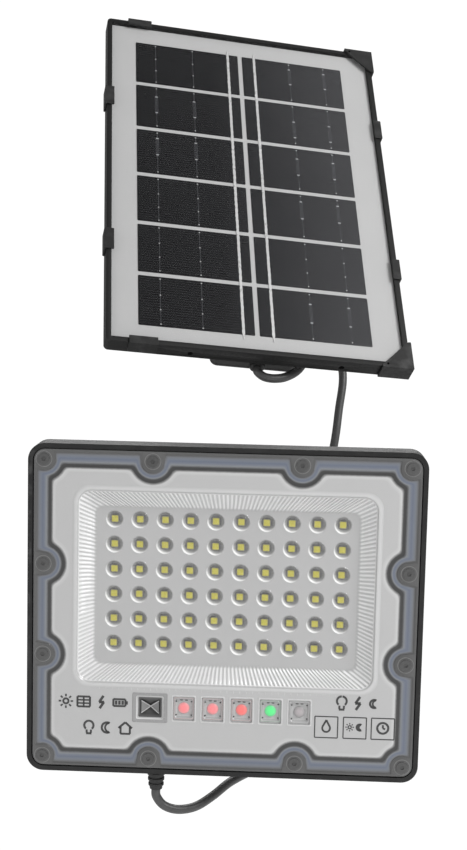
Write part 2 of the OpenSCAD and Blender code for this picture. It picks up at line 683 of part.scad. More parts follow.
rear_housing();
lens_gasket();
front_lens();
reflector_plate();
led_board();
leds();
heat_spreader();
spreader_screws();
indicator_board();
indicator_leds();
ir_receiver();
battery_cells();
battery_cradle();
cradle_screws();
control_board();
charge_inductor();
driver_parts();
board_screws();
lens_screws();
lamp_gland();
lamp_pivot_bolts();
lamp_pivot_washers();
u_bracket();
panel_frame();
panel_backsheet();
solar_cells();
cell_ribbons();
panel_front_sheet();
laminate_clips();
corner_caps();
junction_box();
junction_lid();
junction_lid_screws();
diode_board();
panel_gland();
panel_bracket();
panel_bracket_screws();
tilt_bolt();
tilt_wing_nut();
bracket_arm();
arm_cable_tie();
wall_plate();
swivel_bolt();
swivel_nut();
panel_lead_upper();
panel_lead_lower();
panel_lead_end();
cable_coil();
coil_tie_side();
coil_tie_bottom();
plug();
plug_nut();
socket();
lamp_lead();
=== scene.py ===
"""Visual model of a solar flood light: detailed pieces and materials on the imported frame."""

import json
import math

import bmesh
import bpy
from mathutils import Euler, Matrix, Vector


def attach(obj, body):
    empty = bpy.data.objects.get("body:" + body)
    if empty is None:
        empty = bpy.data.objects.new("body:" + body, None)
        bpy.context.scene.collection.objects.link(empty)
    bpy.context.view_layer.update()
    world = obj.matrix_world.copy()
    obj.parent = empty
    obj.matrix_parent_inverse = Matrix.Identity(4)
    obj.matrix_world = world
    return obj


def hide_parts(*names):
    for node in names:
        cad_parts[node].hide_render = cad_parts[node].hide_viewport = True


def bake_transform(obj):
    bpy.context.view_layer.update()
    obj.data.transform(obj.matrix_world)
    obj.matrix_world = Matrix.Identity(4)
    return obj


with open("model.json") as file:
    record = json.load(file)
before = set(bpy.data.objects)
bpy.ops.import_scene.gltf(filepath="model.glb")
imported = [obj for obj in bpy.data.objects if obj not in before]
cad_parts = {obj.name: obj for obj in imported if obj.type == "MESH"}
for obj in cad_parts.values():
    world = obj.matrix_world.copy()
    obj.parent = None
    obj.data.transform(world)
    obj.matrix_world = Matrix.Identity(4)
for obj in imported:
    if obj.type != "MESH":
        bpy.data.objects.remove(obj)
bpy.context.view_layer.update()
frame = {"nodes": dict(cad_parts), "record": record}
RECORD = frame["record"]
JOINT = {j["name"]: j for j in RECORD["behaviour"]["joints"]}
BODY_OF = {n: b for b, ns in RECORD["behaviour"]["bodies"].items() for n in ns}
SLOT_OF = {s["node"]: s["material_slot"] for s in RECORD["subparts"]}

# ---------- each body's own axes in millimetres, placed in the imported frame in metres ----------
MM = Matrix.Scale(0.001, 4)
LAMP_AIM, PANEL_YAW, PANEL_PITCH = 19.5, 14.5, -20
ARM_LEN, TILT_BACK = 48, 36


def turn(degrees, axis):
    return Matrix.Rotation(math.radians(degrees), 4, axis)


LAMP = Matrix.Translation(JOINT["lamp_tilt"]["pos_m"]) @ turn(LAMP_AIM, "X") @ MM
ARM = Matrix.Translation(JOINT["panel_swivel"]["pos_m"]) @ turn(PANEL_YAW, "Z") @ MM
TO_HINGE, TO_FRONT = Matrix.Translation((0, -ARM_LEN, 0)), Matrix.Translation((0, -TILT_BACK, 0))
PANEL = ARM @ TO_HINGE @ turn(PANEL_PITCH, "X") @ TO_FRONT
WALL = MM
AXES = {"lamp": LAMP, "panel": PANEL}


# ---------- helpers for objects ----------
def new_object(name, data):
    obj = bpy.data.objects.new(name, data)
    bpy.context.scene.collection.objects.link(obj)
    return obj


def smooth_by_angle(obj, degrees):
    chosen = [obj]
    with bpy.context.temp_override(
        object=obj, active_object=obj, selected_objects=chosen, selected_editable_objects=chosen
    ):
        bpy.ops.object.shade_smooth_by_angle(angle=math.radians(degrees))


# ---------- camera, fitted to the photograph ----------
camera = new_object("Camera", bpy.data.cameras.new("Camera"))
camera.data.lens = 59.294
camera.data.sensor_width = 36
camera.data.clip_start = 0.01
camera.location = (0.029401, -0.873589, -0.075267)
camera.rotation_euler = Euler([math.radians(a) for a in (102.70007, -1.94636, 1.71917)], "XYZ")
bpy.context.scene.camera = camera


# ---------- materials ----------
def srgb(value):
    """Linear colour of a hex string or of one grey level from 0 to 255."""
    if isinstance(value, str):
        parts = [int(value[i : i + 2], 16) / 255 for i in (0, 2, 4)]
    else:
        parts = [value / 255] * 3
    return [c / 12.92 if c <= 0.04045 else ((c + 0.055) / 1.055) ** 2.4 for c in parts] + [1]


class Nodes:
    """A material's node tree with short calls for the nodes used here."""

    def __init__(self, name):
        self.material = bpy.data.materials.new(name)
        self.material.use_nodes = True
        self.tree = self.material.node_tree
        self.bsdf = self.tree.nodes["Principled BSDF"]

    def add(self, kind, **values):
        node = self.tree.nodes.new(kind)
        for key, value in values.items():
            if key in node.inputs:
                node.inputs[key].default_value = value
            else:
                setattr(node, key, value)
        return node

    def link(self, a, b):
        self.tree.links.new(a, b)

    def place(self):
        return self.add("ShaderNodeTexCoord").outputs["Object"]

    def zone(self):
        return self.add("ShaderNodeAttribute", attribute_name="zone").outputs["Fac"]

    def noise(self, scale, detail=3.0, rough=0.5, where=None):
        node = self.add("ShaderNodeTexNoise", Scale=scale, Detail=detail, Roughness=rough)
        self.link(where or self.place(), node.inputs["Vector"])
        return node.outputs["Fac"]

    def ramp(self, fac, stops):
        node = self.add("ShaderNodeValToRGB")
        elements = node.color_ramp.elements
        while len(elements) < len(stops):
            elements.new(0.5)
        for element, (place, _) in zip(elements, stops):
            element.position = place
        for element, (_, colour) in zip(elements, stops):
            element.color = colour
        self.link(fac, node.inputs["Fac"])
        return node.outputs["Color"]

    def math(self, operation, a, b=0.5, clamp=False):
        node = self.add("ShaderNodeMath", operation=operation, use_clamp=clamp)
        for socket, value in zip(node.inputs, (a, b)):
            if isinstance(value, (int, float)):
                socket.default_value = value
            else:
                self.link(value, socket)
        return node.outputs[0]

    def mix(self, fac, a, b, blend="MIX"):
        node = self.add("ShaderNodeMix", data_type="RGBA", blend_type=blend)
        for socket, value in ((node.inputs[0], fac), (node.inputs[6], a), (node.inputs[7], b)):
            if isinstance(value, (int, float, list, tuple)):
                socket.default_value = value
            else:
                self.link(value, socket)
        return node.outputs[2]

    def spread(self, fac, low, high):
        """Stretches the middle of a noise to run from low to high."""
        node = self.add("ShaderNodeMapRange")
        self.link(fac, node.inputs["Value"])
        node.inputs["From Min"].default_value = 0.3
        node.inputs["From Max"].default_value = 0.7
        node.inputs["To Min"].default_value = low
        node.inputs["To Max"].default_value = high
        return node.outputs["Result"]

    def bump(self, fac, strength, distance=0.0002):
        node = self.add("ShaderNodeBump", Strength=strength, Distance=distance)
        self.link(fac, node.inputs["Height"])
        self.link(node.outputs["Normal"], self.bsdf.inputs["Normal"])


def dimmed(colour, factor):
    """The linear colour of srgb, times factor."""
    return [c * factor for c in srgb(colour)[:3]] + [1]


def finish_of(
    name, colour, rough, vary=0.12, grain=1400, bump=0.25, metal=0.0, coat=0.0, edge_wear_and_sheen=None, spec=0.5
):
    """A finish with mottled colour, uneven gloss, a fine grain and, where given, paler edges: partly worn,
    partly a painted edge highlight.
    """
    n = Nodes(name)
    base = srgb(colour)
    dark = dimmed(colour, 1 - vary)
    light = [min(1, c * (1 + vary)) for c in base[:3]] + [1]
    cloud = n.noise(38, 4.0)
    tone = n.ramp(cloud, [(0.3, dark), (0.7, light)])
    fine = n.noise(grain, 2.0)
    if edge_wear_and_sheen:
        # paler convex edges in patches: partly worn, partly a painted highlight along the edges
        pointy = n.add("ShaderNodeNewGeometry").outputs["Pointiness"]
        edge = n.ramp(pointy, [(0.52, srgb(0)), (0.6, srgb(255))])
        patches = n.ramp(n.noise(160, 5.0), [(0.45, srgb(0)), (0.7, srgb(255))])
        scuff_and_sheen = n.math("MULTIPLY", edge, patches)
        tone = n.mix(scuff_and_sheen, tone, srgb(edge_wear_and_sheen))
    n.link(tone, n.bsdf.inputs["Base Color"])
    n.link(n.spread(fine, rough * 0.85, min(1, rough * 1.15)), n.bsdf.inputs["Roughness"])
    n.bsdf.inputs["Metallic"].default_value = metal
    n.bsdf.inputs["Coat Weight"].default_value = coat
    n.bsdf.inputs["Coat Roughness"].default_value = 0.2
    n.bsdf.inputs["Specular IOR Level"].default_value = spec
    n.bump(fine, bump)
    return n.material


def brushed(name, colour, rough=0.32):
    """Plated or brushed steel with fine streaks."""
    n = Nodes(name)
    stretch = n.add("ShaderNodeMapping")
    stretch.inputs["Scale"].default_value = (900, 90, 900)
    n.link(n.place(), stretch.inputs["Vector"])
    streak = n.noise(1.0, 3.0, where=stretch.outputs["Vector"])
    tone = n.ramp(streak, [(0.3, dimmed(colour, 0.8)), (0.7, srgb(colour))])
    n.link(tone, n.bsdf.inputs["Base Color"])
    n.link(n.spread(streak, rough * 0.8, rough * 1.3), n.bsdf.inputs["Roughness"])
    n.bsdf.inputs["Metallic"].default_value = 1.0
    n.bump(streak, 0.15, 0.0001)
    return n.material


def clear(name, colour, alpha, rough=0.08):
    """A clear moulded sheet: mostly see-through, with a clean gloss and faint flow marks."""
    n = Nodes(name)
    flow = n.noise(60, 3.0)
    tone = n.ramp(flow, [(0.3, dimmed(colour, 0.94)), (0.7, srgb(colour))])
    n.link(tone, n.bsdf.inputs["Base Color"])
    n.link(n.spread(flow, rough, rough * 1.8), n.bsdf.inputs["Roughness"])
    n.bsdf.inputs["Alpha"].default_value = alpha
    return n.material


def polished(name, stops, rough, scale):
    """A bright surface whose tone follows the zone attribute, with an uneven gloss between two roughnesses."""
    n = Nodes(name)
    tone = n.ramp(n.zone(), [(place, srgb(c)) for place, c in stops])
    n.link(tone, n.bsdf.inputs["Base Color"])
    n.link(n.spread(n.noise(scale, 2.0), *rough), n.bsdf.inputs["Roughness"])
    return n.material


def mottled(name, stops, over, rough, scale, detail=2.0, amount=1.0, glow=0.0):
    """A surface whose tone follows the zone attribute, mottled by noise towards the colour over."""
    n = Nodes(name)
    tone = n.ramp(n.zone(), [(place, srgb(c)) for place, c in stops])
    cloud = n.math("MULTIPLY", n.noise(scale, detail), amount)
    n.link(n.mix(cloud, tone, srgb(over)), n.bsdf.inputs["Base Color"])
    n.bsdf.inputs["Roughness"].default_value = rough
    if glow:
        n.bsdf.inputs["Emission Color"].default_value = srgb(stops[-1][1])
        n.bsdf.inputs["Emission Strength"].default_value = glow
    return n.material


FINISH = {
    "housing_black": finish_of("housing_black", 20, 0.4, edge_wear_and_sheen=62, spec=0.4),
    "gasket_grey": finish_of("gasket_grey", "6f747c", 0.7),
    "lens_clear": clear("lens_clear", 230, 0.3),
    "reflector_white": finish_of("reflector_white", 225, 0.4, vary=0.03),
    "pcb_white": finish_of("pcb_white", 205, 0.45, vary=0.04),
    "led_phosphor": finish_of("led_phosphor", "aaa23c", 0.5, vary=0.08),
    "spreader_metal": brushed("spreader_metal", 190),
    "screw_steel": brushed("screw_steel", 165),
    "dark_screw": finish_of("dark_screw", 84, 0.38, metal=0.35),
    "pcb_green": finish_of("pcb_green", "1f5a35", 0.35, coat=0.4),
    "indicator_clear": clear("indicator_clear", 220, 0.6),
    "ir_window": finish_of("ir_window", 28, 0.12, coat=0.6),
    "battery_wrap": finish_of("battery_wrap", "2c62a4", 0.3, coat=0.4),
    "cradle_plastic": finish_of("cradle_plastic", 38, 0.5),
    "ferrite": finish_of("ferrite", "6a3f22", 0.45, vary=0.25, grain=500),
    "chip_black": finish_of("chip_black", 34, 0.4),
    "gland_black": finish_of("gland_black", 26, 0.48),
    "bracket_black": finish_of("bracket_black", 30, 0.5, grain=900, bump=0.5, edge_wear_and_sheen=90),
    "washer_steel": brushed("washer_steel", 185, 0.28),
    "frame_black": finish_of("frame_black", 18, 0.55, grain=1100, bump=0.3, spec=0.3),
    "backsheet_white": finish_of("backsheet_white", 190, 0.5, vary=0.015, grain=700, bump=0.1),
    "cell_blue_black": finish_of("cell_blue_black", 20, 0.25, coat=0.3),
    "ribbon_tin": finish_of("ribbon_tin", 225, 0.3, metal=0.35, vary=0.06, grain=260, bump=0.4),
    "front_sheet": clear("front_sheet", 90, 0.05, 0.14),
    "clip_black": finish_of("clip_black", 30, 0.6, edge_wear_and_sheen=58, spec=0.3),
    "cable_black": finish_of("cable_black", 72, 0.42, vary=0.1, grain=600, bump=0.12),
    "tie_black": finish_of("tie_black", 22, 0.4),
    "connector_black": finish_of("connector_black", 26, 0.45, edge_wear_and_sheen=60),
}


# ---------- mesh helpers ----------
def finish_piece(obj, body, slot, material=None, smooth=None):
    obj.data.materials.clear()
    obj.data.materials.append(material or FINISH[slot])
    if smooth is not None:
        smooth_by_angle(obj, smooth)
    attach(obj, body)
    return obj


def piece(name, build, body, slot, material=None, smooth=35, zoned=False, local=False, weld=True):
    """A mesh piece from what build collected, in the body's millimetres.

    zoned keeps build's values as the attribute zone, and local keeps the millimetres as the attribute local.
    """
    mesh = bpy.data.meshes.new(name)
    mesh.from_pydata([AXES[body] @ Vector(p) for p in build.points], [], build.faces)
    if zoned:
        mesh.attributes.new("zone", "FLOAT", "POINT").data.foreach_set("value", build.values)
    if local:
        flat = [c for p in build.points for c in p]
        mesh.attributes.new("local", "FLOAT_VECTOR", "POINT").data.foreach_set("vector", flat)
    bm = bmesh.new()
    bm.from_mesh(mesh)
    if weld:
        bmesh.ops.remove_doubles(bm, verts=bm.verts, dist=1e-6)
    bmesh.ops.recalc_face_normals(bm, faces=bm.faces)
    bm.to_mesh(mesh)
    bm.free()
    return finish_piece(new_object(name, mesh), body, slot, material, smooth)


def rounded_copy(node, width):
    """The CAD node with its edges rounded by width in millimetres."""
    source = frame["nodes"][node]
    bm = bmesh.new()
    bm.from_mesh(source.data)
    bmesh.ops.remove_doubles(bm, verts=bm.verts, dist=1e-6)
    bmesh.ops.dissolve_limit(bm, angle_limit=math.radians(0.8), verts=bm.verts, edges=bm.edges)
    mesh = bpy.data.meshes.new(node + "_rounded")
    bm.to_mesh(mesh)
    bm.free()
    obj = new_object(node + "_rounded", mesh)
    bevel = obj.modifiers.new("Bevel", "BEVEL")
    bevel.width = width * 0.001
    bevel.segments = 2
    bevel.limit_method = "ANGLE"
    bevel.angle_limit = math.radians(40)
    bevel.use_clamp_overlap = True
    bevel.miter_outer = "MITER_ARC"
    bpy.context.view_layer.update()
    bevelled = obj.evaluated_get(bpy.context.evaluated_depsgraph_get())
    obj.data = bpy.data.meshes.new_from_object(bevelled)
    obj.modifiers.clear()
    finish_piece(obj, BODY_OF[node], SLOT_OF[node], smooth=25)
    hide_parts(node)
    return obj


def rings_of_quads(rings, sides):
    """Faces between rings of equally many points that follow one another."""
    return [
        (i * sides + k, i * sides + (k + 1) % sides, (i + 1) * sides + (k + 1) % sides, (i + 1) * sides + k)
        for i in range(rings - 1)
        for k in range(sides)
    ]


def end_caps(rings, sides):
    return [tuple(range(sides))[::-1], tuple((rings - 1) * sides + k for k in range(sides))]


class Build:
    """Collects points and faces of several shapes into one piece."""

    def __init__(self):
        self.points, self.faces, self.values = [], [], []

    def add(self, points, faces, value=0.0):
        start = len(self.points)
        self.points += [tuple(p) for p in points]
        self.values += list(value) if isinstance(value, (list, tuple)) else [value] * len(points)
        self.faces += [tuple(i + start for i in f) for f in faces]

    def loops(self, rings, cap=False, value=None):
        """Quads between rings of equally many points; value gives one number a ring."""
        sides = len(rings[0])
        faces = rings_of_quads(len(rings), sides)
        if cap:
            faces += end_caps(len(rings), sides)
        values = 0.0 if value is None else [v for v in value for _ in range(sides)]
        self.add([p for ring in rings for p in ring], faces, values)


def box_ring(w, h, r, n=6):
    """A rounded rectangle in X and Z about the origin, going round from its right side."""
    r = min(r, w / 2 - 0.01, h / 2 - 0.01)
    out = []
    for cx, cz, start in ((1, 1, 0), (-1, 1, 90), (-1, -1, 180), (1, -1, 270)):
        for k in range(n + 1):
            a = math.radians(start + 90 * k / n)
            out.append((cx * (w / 2 - r) + r * math.cos(a), cz * (h / 2 - r) + r * math.sin(a)))
    return out


def at(ring, x, z, y):
    return [(x + px, y, z + pz) for px, pz in ring]


def stud(build, x, z, base, top, y_base, y_top):
    """A small block facing the front: base and top are (width, height, corner radius)."""
    build.loops([at(box_ring(*base, 2), x, z, y_base), at(box_ring(*top, 2), x, z, y_top)], cap=True)


def patch(build, corners, y):
    """One flat face through four (x, z) corners."""
    build.add([(x, y, z) for x, z in corners], [(0, 1, 2, 3)])


def rectangle(x0, z0, x1, z1):
    return [(x0, z0), (x1, z0), (x1, z1), (x0, z1)]


def stroke(x0, z0, x1, z1, half):
    """The corners of a straight stroke of half the given thickness on each side."""
    d = Vector((x1 - x0, z1 - z0)).normalized() * half
    return [(x0 - d.y, z0 + d.x), (x1 - d.y, z1 + d.x), (x1 + d.y, z1 - d.x), (x0 + d.y, z0 - d.x)]


# ---------- cords ----------
CABLE_D = 5.0
TUBE_SIDES = 14
TUBE_R = CABLE_D / 2000 * 0.985  # metres, a little under the true radius so it stays clear of its neighbours
STEPS = 6


def spline(points, steps):
    """A smooth curve through the points, with steps to each stretch."""
    out = []
    for i in range(len(points) - 1):
        a, b = points[max(i - 1, 0)], points[i]
        c, d = points[i + 1], points[min(i + 2, len(points) - 1)]
        for k in range(steps):
            t = k / steps
            square, cube = 2 * a - 5 * b + 4 * c - d, 3 * b - a - 3 * c + d
            out.append(0.5 * (2 * b + (c - a) * t + square * t * t + cube * t**3))
    return out + [points[-1]]


def tube(name, path, replaced):
    """A round cable along path, in metres, flat at both ends, where it goes into a boot or a plug."""
    side = Vector((0.31, 0.17, 0.93))
    points = []
    for i, p in enumerate(path):
        t = (path[min(i + 1, len(path) - 1)] - path[max(i - 1, 0)]).normalized()
        side = (side - side.dot(t) * t).normalized()
        up = t.cross(side)
        for k in range(TUBE_SIDES):
            a = 2 * math.pi * k / TUBE_SIDES
            points.append(p + TUBE_R * (math.cos(a) * side + math.sin(a) * up))
    faces = rings_of_quads(len(path), TUBE_SIDES) + end_caps(len(path), TUBE_SIDES)
    mesh = bpy.data.meshes.new(name)
    mesh.from_pydata(points, [], faces)
    mesh.materials.append(FINISH["cable_black"])
    obj = new_object(name, mesh)
    smooth_by_angle(obj, 50)
    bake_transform(obj)
    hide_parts(*replaced)
    return obj


def length_of(path):
    return sum((b - a).length for a, b in zip(path, path[1:]))


ON_PANEL = [
    (2, 17, -118.6), (2.1, 17, -120.6), (5.4, 17, -123.4), (11, 17, -124), (18, 17.5, -121.8), (26, 19, -115),
    (31.5, 22, -103), (33, 26, -84), (31, 32, -62), (22, 38, -40), (10, 43, -26),
]
UPPER_ON_ARM = [(3, -42, -15), (0.4, -34, -11), (0, -28.3, -10.6)]
LOWER_ON_ARM = [(0, -27.7, -10.6), (0.2, -22, -10.8), (3, -17, -14.5), (8, -15.5, -22)]
DROP = [
    (4, -46, 196), (15, -50, 187), (32, -57, 176), (50, -64, 163), (60, -68.6, 149), (62.9, -70, 136),
    (60.9, -70, 117), (58.3, -69, 95), (52, -61, 66), (43, -47, 42), (34.6, -33, 19), (31, -25.6, 4),
]
PLUG_ROUTE = [
    (70, -25.4, 17), (63, -27.6, 17.4), (56, -29.6, 16.2), (50, -31.9, 12.6), (46, -33.8, 7.6),
    (44.5, -34.2, 3),
]
LAMP_ROUTE = [
    (-35.5, -88.2, -102.1), (-35.2, -86.7, -106.2), (-31, -84.8, -111), (-23.4, -82.5, -113),
    (-14, -79, -111.2), (-5, -74.2, -105.4), (4, -67.8, -98), (15.6, -58.6, -91.6), (30, -46.4, -85),
    (41, -36.9, -75), (44.4, -34.3, -66), (44.5, -34.2, -59.2),
]
# where the panel's lead starts and ends its bend between the arm and the bracket, and where the lamp's ends
COIL = Vector((66.5, -16, -4))
COIL_SLOT = 5.3
COIL_R = 36
COIL_START, COIL_END, COIL_STEP = 186, 4741, 9  # degrees
LAYER_STEPS = (1350, 2430, 3510)
TURNS_PER_LAYER, LAYERS = 3, 4


def ease(t):
    t = min(max(t, 0), 1)
    return t * t * (3 - 2 * t)


def coil_path():
    """The wound coil: four layers of three turns, which step sideways once a turn and inwards once a layer."""
    out = []
    for a in range(COIL_START, COIL_END, COIL_STEP):
        radius = COIL_R - CABLE_D * sum(ease((a - s) / 90) for s in LAYER_STEPS)
        slot = 0
        for k in range(TURNS_PER_LAYER * LAYERS):
            way = 1 if k // TURNS_PER_LAYER % 2 == 0 else -1
            slot += way * ease((a - 450 - 360 * k) / 90)
        t = math.radians(a)
        spot = Vector((radius * math.cos(t), (slot - 1.5) * COIL_SLOT, radius * math.sin(t)))
        out.append(COIL + spot)
    return out


def placed(matrix, points):
    return [matrix @ Vector(p) for p in points]


upper_path = spline(placed(PANEL, ON_PANEL) + placed(ARM, UPPER_ON_ARM), STEPS)
upper_lead = tube("panel_lead_top", upper_path, ["panel_lead_upper"])

coil = placed(WALL, coil_path())
to_coil = placed(ARM, LOWER_ON_ARM) + placed(WALL, DROP) + [coil[0]]
main_path = spline(to_coil, STEPS)[:-1] + coil
main_path += spline([coil[-1]] + placed(WALL, PLUG_ROUTE), STEPS)[1:]
main_lead = tube("panel_lead", main_path, ["panel_lead_lower", "cable_coil", "panel_lead_end"])

lamp_path = spline(placed(WALL, LAMP_ROUTE), STEPS)
lamp_lead = tube("lamp_cable", lamp_path, ["lamp_lead"])
for label, path in (("panel_lead_top", upper_path), ("panel_lead", main_path), ("lamp_cable", lamp_path)):
    print("cord length", label, round(length_of(path), 3))

# ---------- CAD nodes that keep their shape: rounded edges where they show ----------
# node: width of its rounded edges in millimetres
ROUNDED = {
    "rear_housing": 0.7, "u_bracket": 0.5, "panel_frame": 0.6, "laminate_clips": 0.3, "corner_caps": 0.35,
    "junction_box": 0.5, "junction_lid": 0.4, "panel_bracket": 0.45, "bracket_arm": 0.6, "wall_plate": 0.5,
    "plug": 0.4, "plug_nut": 0.4, "socket": 0.4, "lamp_gland": 0.35, "panel_gland": 0.4,
    "arm_cable_tie": 0.25, "coil_tie_side": 0.25, "coil_tie_bottom": 0.25, "tilt_wing_nut": 0.4,
    "tilt_bolt": 0.35, "swivel_bolt": 0.35, "swivel_nut": 0.35, "lamp_pivot_bolts": 0.4,
    "lamp_pivot_washers": 0.2, "battery_cradle": 0.3, "panel_bracket_screws": 0.2, "junction_lid_screws": 0.2,
}
rounded = {node: rounded_copy(node, width) for node, width in ROUNDED.items()}
for node, obj in frame["nodes"].items():
    obj.data.materials.clear()
    obj.data.materials.append(FINISH[SLOT_OF[node]])

# ---------- lamp front ----------
LAMP_W, LAMP_H, CORNER = 210, 178, 9
FRONT = -30.8  # the lens's foremost plane, on the lamp's Y
FACE = FRONT + 0.34  # its flat face, inside the raised band
FLOOR = FRONT + 5.55  # the floor of its recess
SIGNS = (-1, 1)
SCREW_PLACES = ((96.6, 80.6), (39.2, 80.6), (96.6, 24.6))
SCREWS = [(sx * x, sz * z) for x, z in SCREW_PLACES for sx in SIGNS for sz in SIGNS]
RECESS = Vector((0.5, 12.6))
CORE_INSET = 22
FAN, RAY_STEP = 33, 0.9
ZONE_BLEND = 1.6


def inset(x, z):
    """Distance inside the housing's outer edge."""
    qx, qz = abs(x) - (LAMP_W / 2 - CORNER), abs(z) - (LAMP_H / 2 - CORNER)
    return CORNER - math.hypot(max(qx, 0), max(qz, 0)) - min(max(qx, qz), 0)


# (distance from a screw, the inset it stands for)
SCREW_STEPS = ((2.5, 0.2), (6.2, 4.6), (9.4, 10.6), (12.1, 13.0), (16, 16))


def bite(d):
    """The inset that a distance from a screw stands for, so each zone bends round the screws."""
    for (d0, v0), (d1, v1) in zip(SCREW_STEPS, SCREW_STEPS[1:]):
        if d < d1 or d1 == SCREW_STEPS[-1][0]:
            return v0 + (d - d0) * (v1 - v0) / (d1 - d0)


def zone(x, z):
    """Inset from the nearer of the outer edge and the screws, softened where the two meet."""
    a = inset(x, z)
    b = bite(min(math.hypot(x - sx, z - sz) for sx, sz in SCREWS))
    h = max(ZONE_BLEND - abs(a - b), 0) / ZONE_BLEND
    return min(a, b) - h * h * 0.4


def last_true(low, high, rounds, test):
    """The value between low and high up to which test holds, by halving."""
    for _ in range(rounds):
        mid = (low + high) / 2
        if test(mid):
            low = mid
        else:
            high = mid
    return low


def cross(origin, way, test):
    """Distance along a ray from inside at which test first turns false."""
    def holds(s):
        return test(origin[0] + way[0] * s, origin[1] + way[1] * s)
    s = 0.0
    while holds(s) and s < 60:
        s += 0.5
    return last_true(s - 0.5, s, 12, holds)


def rays():
    """Rays from a core rectangle to the edge, square to the sides and fanned at the corners."""
    hx, hz = LAMP_W / 2 - CORE_INSET, LAMP_H / 2 - CORE_INSET
    sides = (
        ((hx, hz), 0, (-1, 0)), ((-hx, hz), 90, (0, -1)), ((-hx, -hz), 180, (1, 0)), ((hx, -hz), 270, (0, 1)),
    )
    out = []
    for (cx, cz), start, (ex, ez) in sides:
        for k in range(FAN):
            a = math.radians(start + 90 * k / FAN)
            out.append(((cx, cz), (math.cos(a), math.sin(a))))
        a = math.radians(start + 90)
        run = 2 * (hx if ex else hz)
        way = (round(math.cos(a)), round(math.sin(a)))
        steps = int(run / RAY_STEP)
        for k in range(steps):
            out.append(((cx + ex * run * k / steps, cz + ez * run * k / steps), way))
    return out


# rows of the lens from its outer edge inwards: (inset or zone, depth behind the lens front)
EDGE_ROWS = ((2.95, 1.4), (3.05, 0.25), (3.35, 0.0))
ZONE_ROWS = (
    (4.25, 0.0), (4.55, 0.1), (4.8, 0.32), (5.4, 0.35), (6.6, 0.36), (7.7, 0.36), (8.8, 0.36), (10.2, 0.35),
    (10.6, 0.5), (11.0, 0.62), (12.4, 0.62), (12.9, 0.45), (13.5, 0.34), (15.0, 0.34),
)
RAYS = rays()


def level_ring(measure, level, depth):
    """The loop round the lens on which measure equals level."""
    ring = []
    for o, w in RAYS:
        s = cross(o, w, lambda x, z: measure(x, z) > level)
        ring.append((o[0] + w[0] * s, FRONT + depth, o[1] + w[1] * s))
    return ring


lens = Build()
rings = [level_ring(inset, *row) for row in EDGE_ROWS] + [level_ring(zone, *row) for row in ZONE_ROWS]
lens.loops(rings, value=[level for level, depth in EDGE_ROWS + ZONE_ROWS])
face_edge = rings[-1]


def to_ring(way, w, h, r):
    """Where a ray from the recess's centre meets a rounded rectangle about it."""
    def inside(x, z):
        qx, qz = abs(x) - (w / 2 - r), abs(z) - (h / 2 - r)
        return math.hypot(max(qx, 0), max(qz, 0)) + min(max(qx, qz), 0) < r
    s = last_true(0.0, 140.0, 26, lambda mid: inside(way[0] * mid, way[1] * mid))
    return RECESS[0] + way[0] * s, RECESS[1] + way[1] * s


# recess: a raised bead with a painted highlight on its crest, then walls with fine radial ribs down to the
# floor, with painted shade in their grooves
RIB_PITCH = 2.3
RIB_COLUMNS = 4
RIB_DEPTH = 0.5
WALL_TONE, GROOVE_SHADE_TONE = 20, 21.4


def along(outline, step):
    """Points at equal steps along a closed outline."""
    out = []
    gone, k = 0.0, 0
    for a, b in zip(outline, outline[1:] + outline[:1]):
        d = math.dist(a, b)
        while d > 0 and k * step < gone + d - 1e-9:
            t = (k * step - gone) / d
            out.append((a[0] + (b[0] - a[0]) * t, a[1] + (b[1] - a[1]) * t))
            k += 1
        gone += d
    return out


outline = box_ring(156, 102, 8, 8)
total = sum(math.dist(a, b) for a, b in zip(outline, outline[1:] + outline[:1]))
around = along(outline, total / (int(total / RIB_PITCH) * RIB_COLUMNS))
ways = [(x / math.hypot(x, z), z / math.hypot(x, z)) for x, z in around]
# rows from the bead inwards and down: (width, height, corner radius, depth behind the lens front, tone)
RECESS_ROWS = (
    (163.5, 109.5, 9, 0.34, 16), (162, 108, 9, 0.16, 17), (160.4, 106.4, 8.5, 0.0, 17.6),
    (158.8, 104.8, 8, 0.08, 17.8), (158, 104, 7.5, 0.4, 18.6), (157.2, 103.2, 7, 0.75, 19),
    (156.4, 102.4, 6.5, 0.95, WALL_TONE), (149, 94.6, 5.5, 3.0, WALL_TONE), (142, 87.2, 4.5, 4.95, WALL_TONE),
    (139.6, 84.8, 4, 5.5, 22.4), (138.4, 83.6, 3.5, 5.55, 23),
)
rings, values = [], []
for w, h, r, depth, tone in RECESS_ROWS:
    ring = []
    for j, way in enumerate(ways):
        x, z = to_ring(way, w, h, r)
        groove = tone == WALL_TONE and j % RIB_COLUMNS in (1, 2)
        ring.append((x, FRONT + depth + (RIB_DEPTH if groove else 0.0), z))
        values.append(GROOVE_SHADE_TONE if groove else tone)
    rings.append(ring)
lens.add([p for ring in rings for p in ring], rings_of_quads(len(rings), len(ways)), values)
bead_edge, floor_edge = rings[0], rings[-1]

LED_X, LED_Z, LED_PITCH_X, LED_PITCH_Z = 1, 14.7, 13.45, 13.5
LEDS = [(LED_X + (i - 4.5) * LED_PITCH_X, LED_Z + (k - 2.5) * LED_PITCH_Z) for i in range(10) for k in range(6)]
HOLE = 4.75
# windows: (x, z, width, height)
WINDOWS = [(10.2 + i * 15.45, -52.5, 13.2, 14.9) for i in range(-2, 3)]
IR = (-38.8, -52.5, 19.0, 16.4)


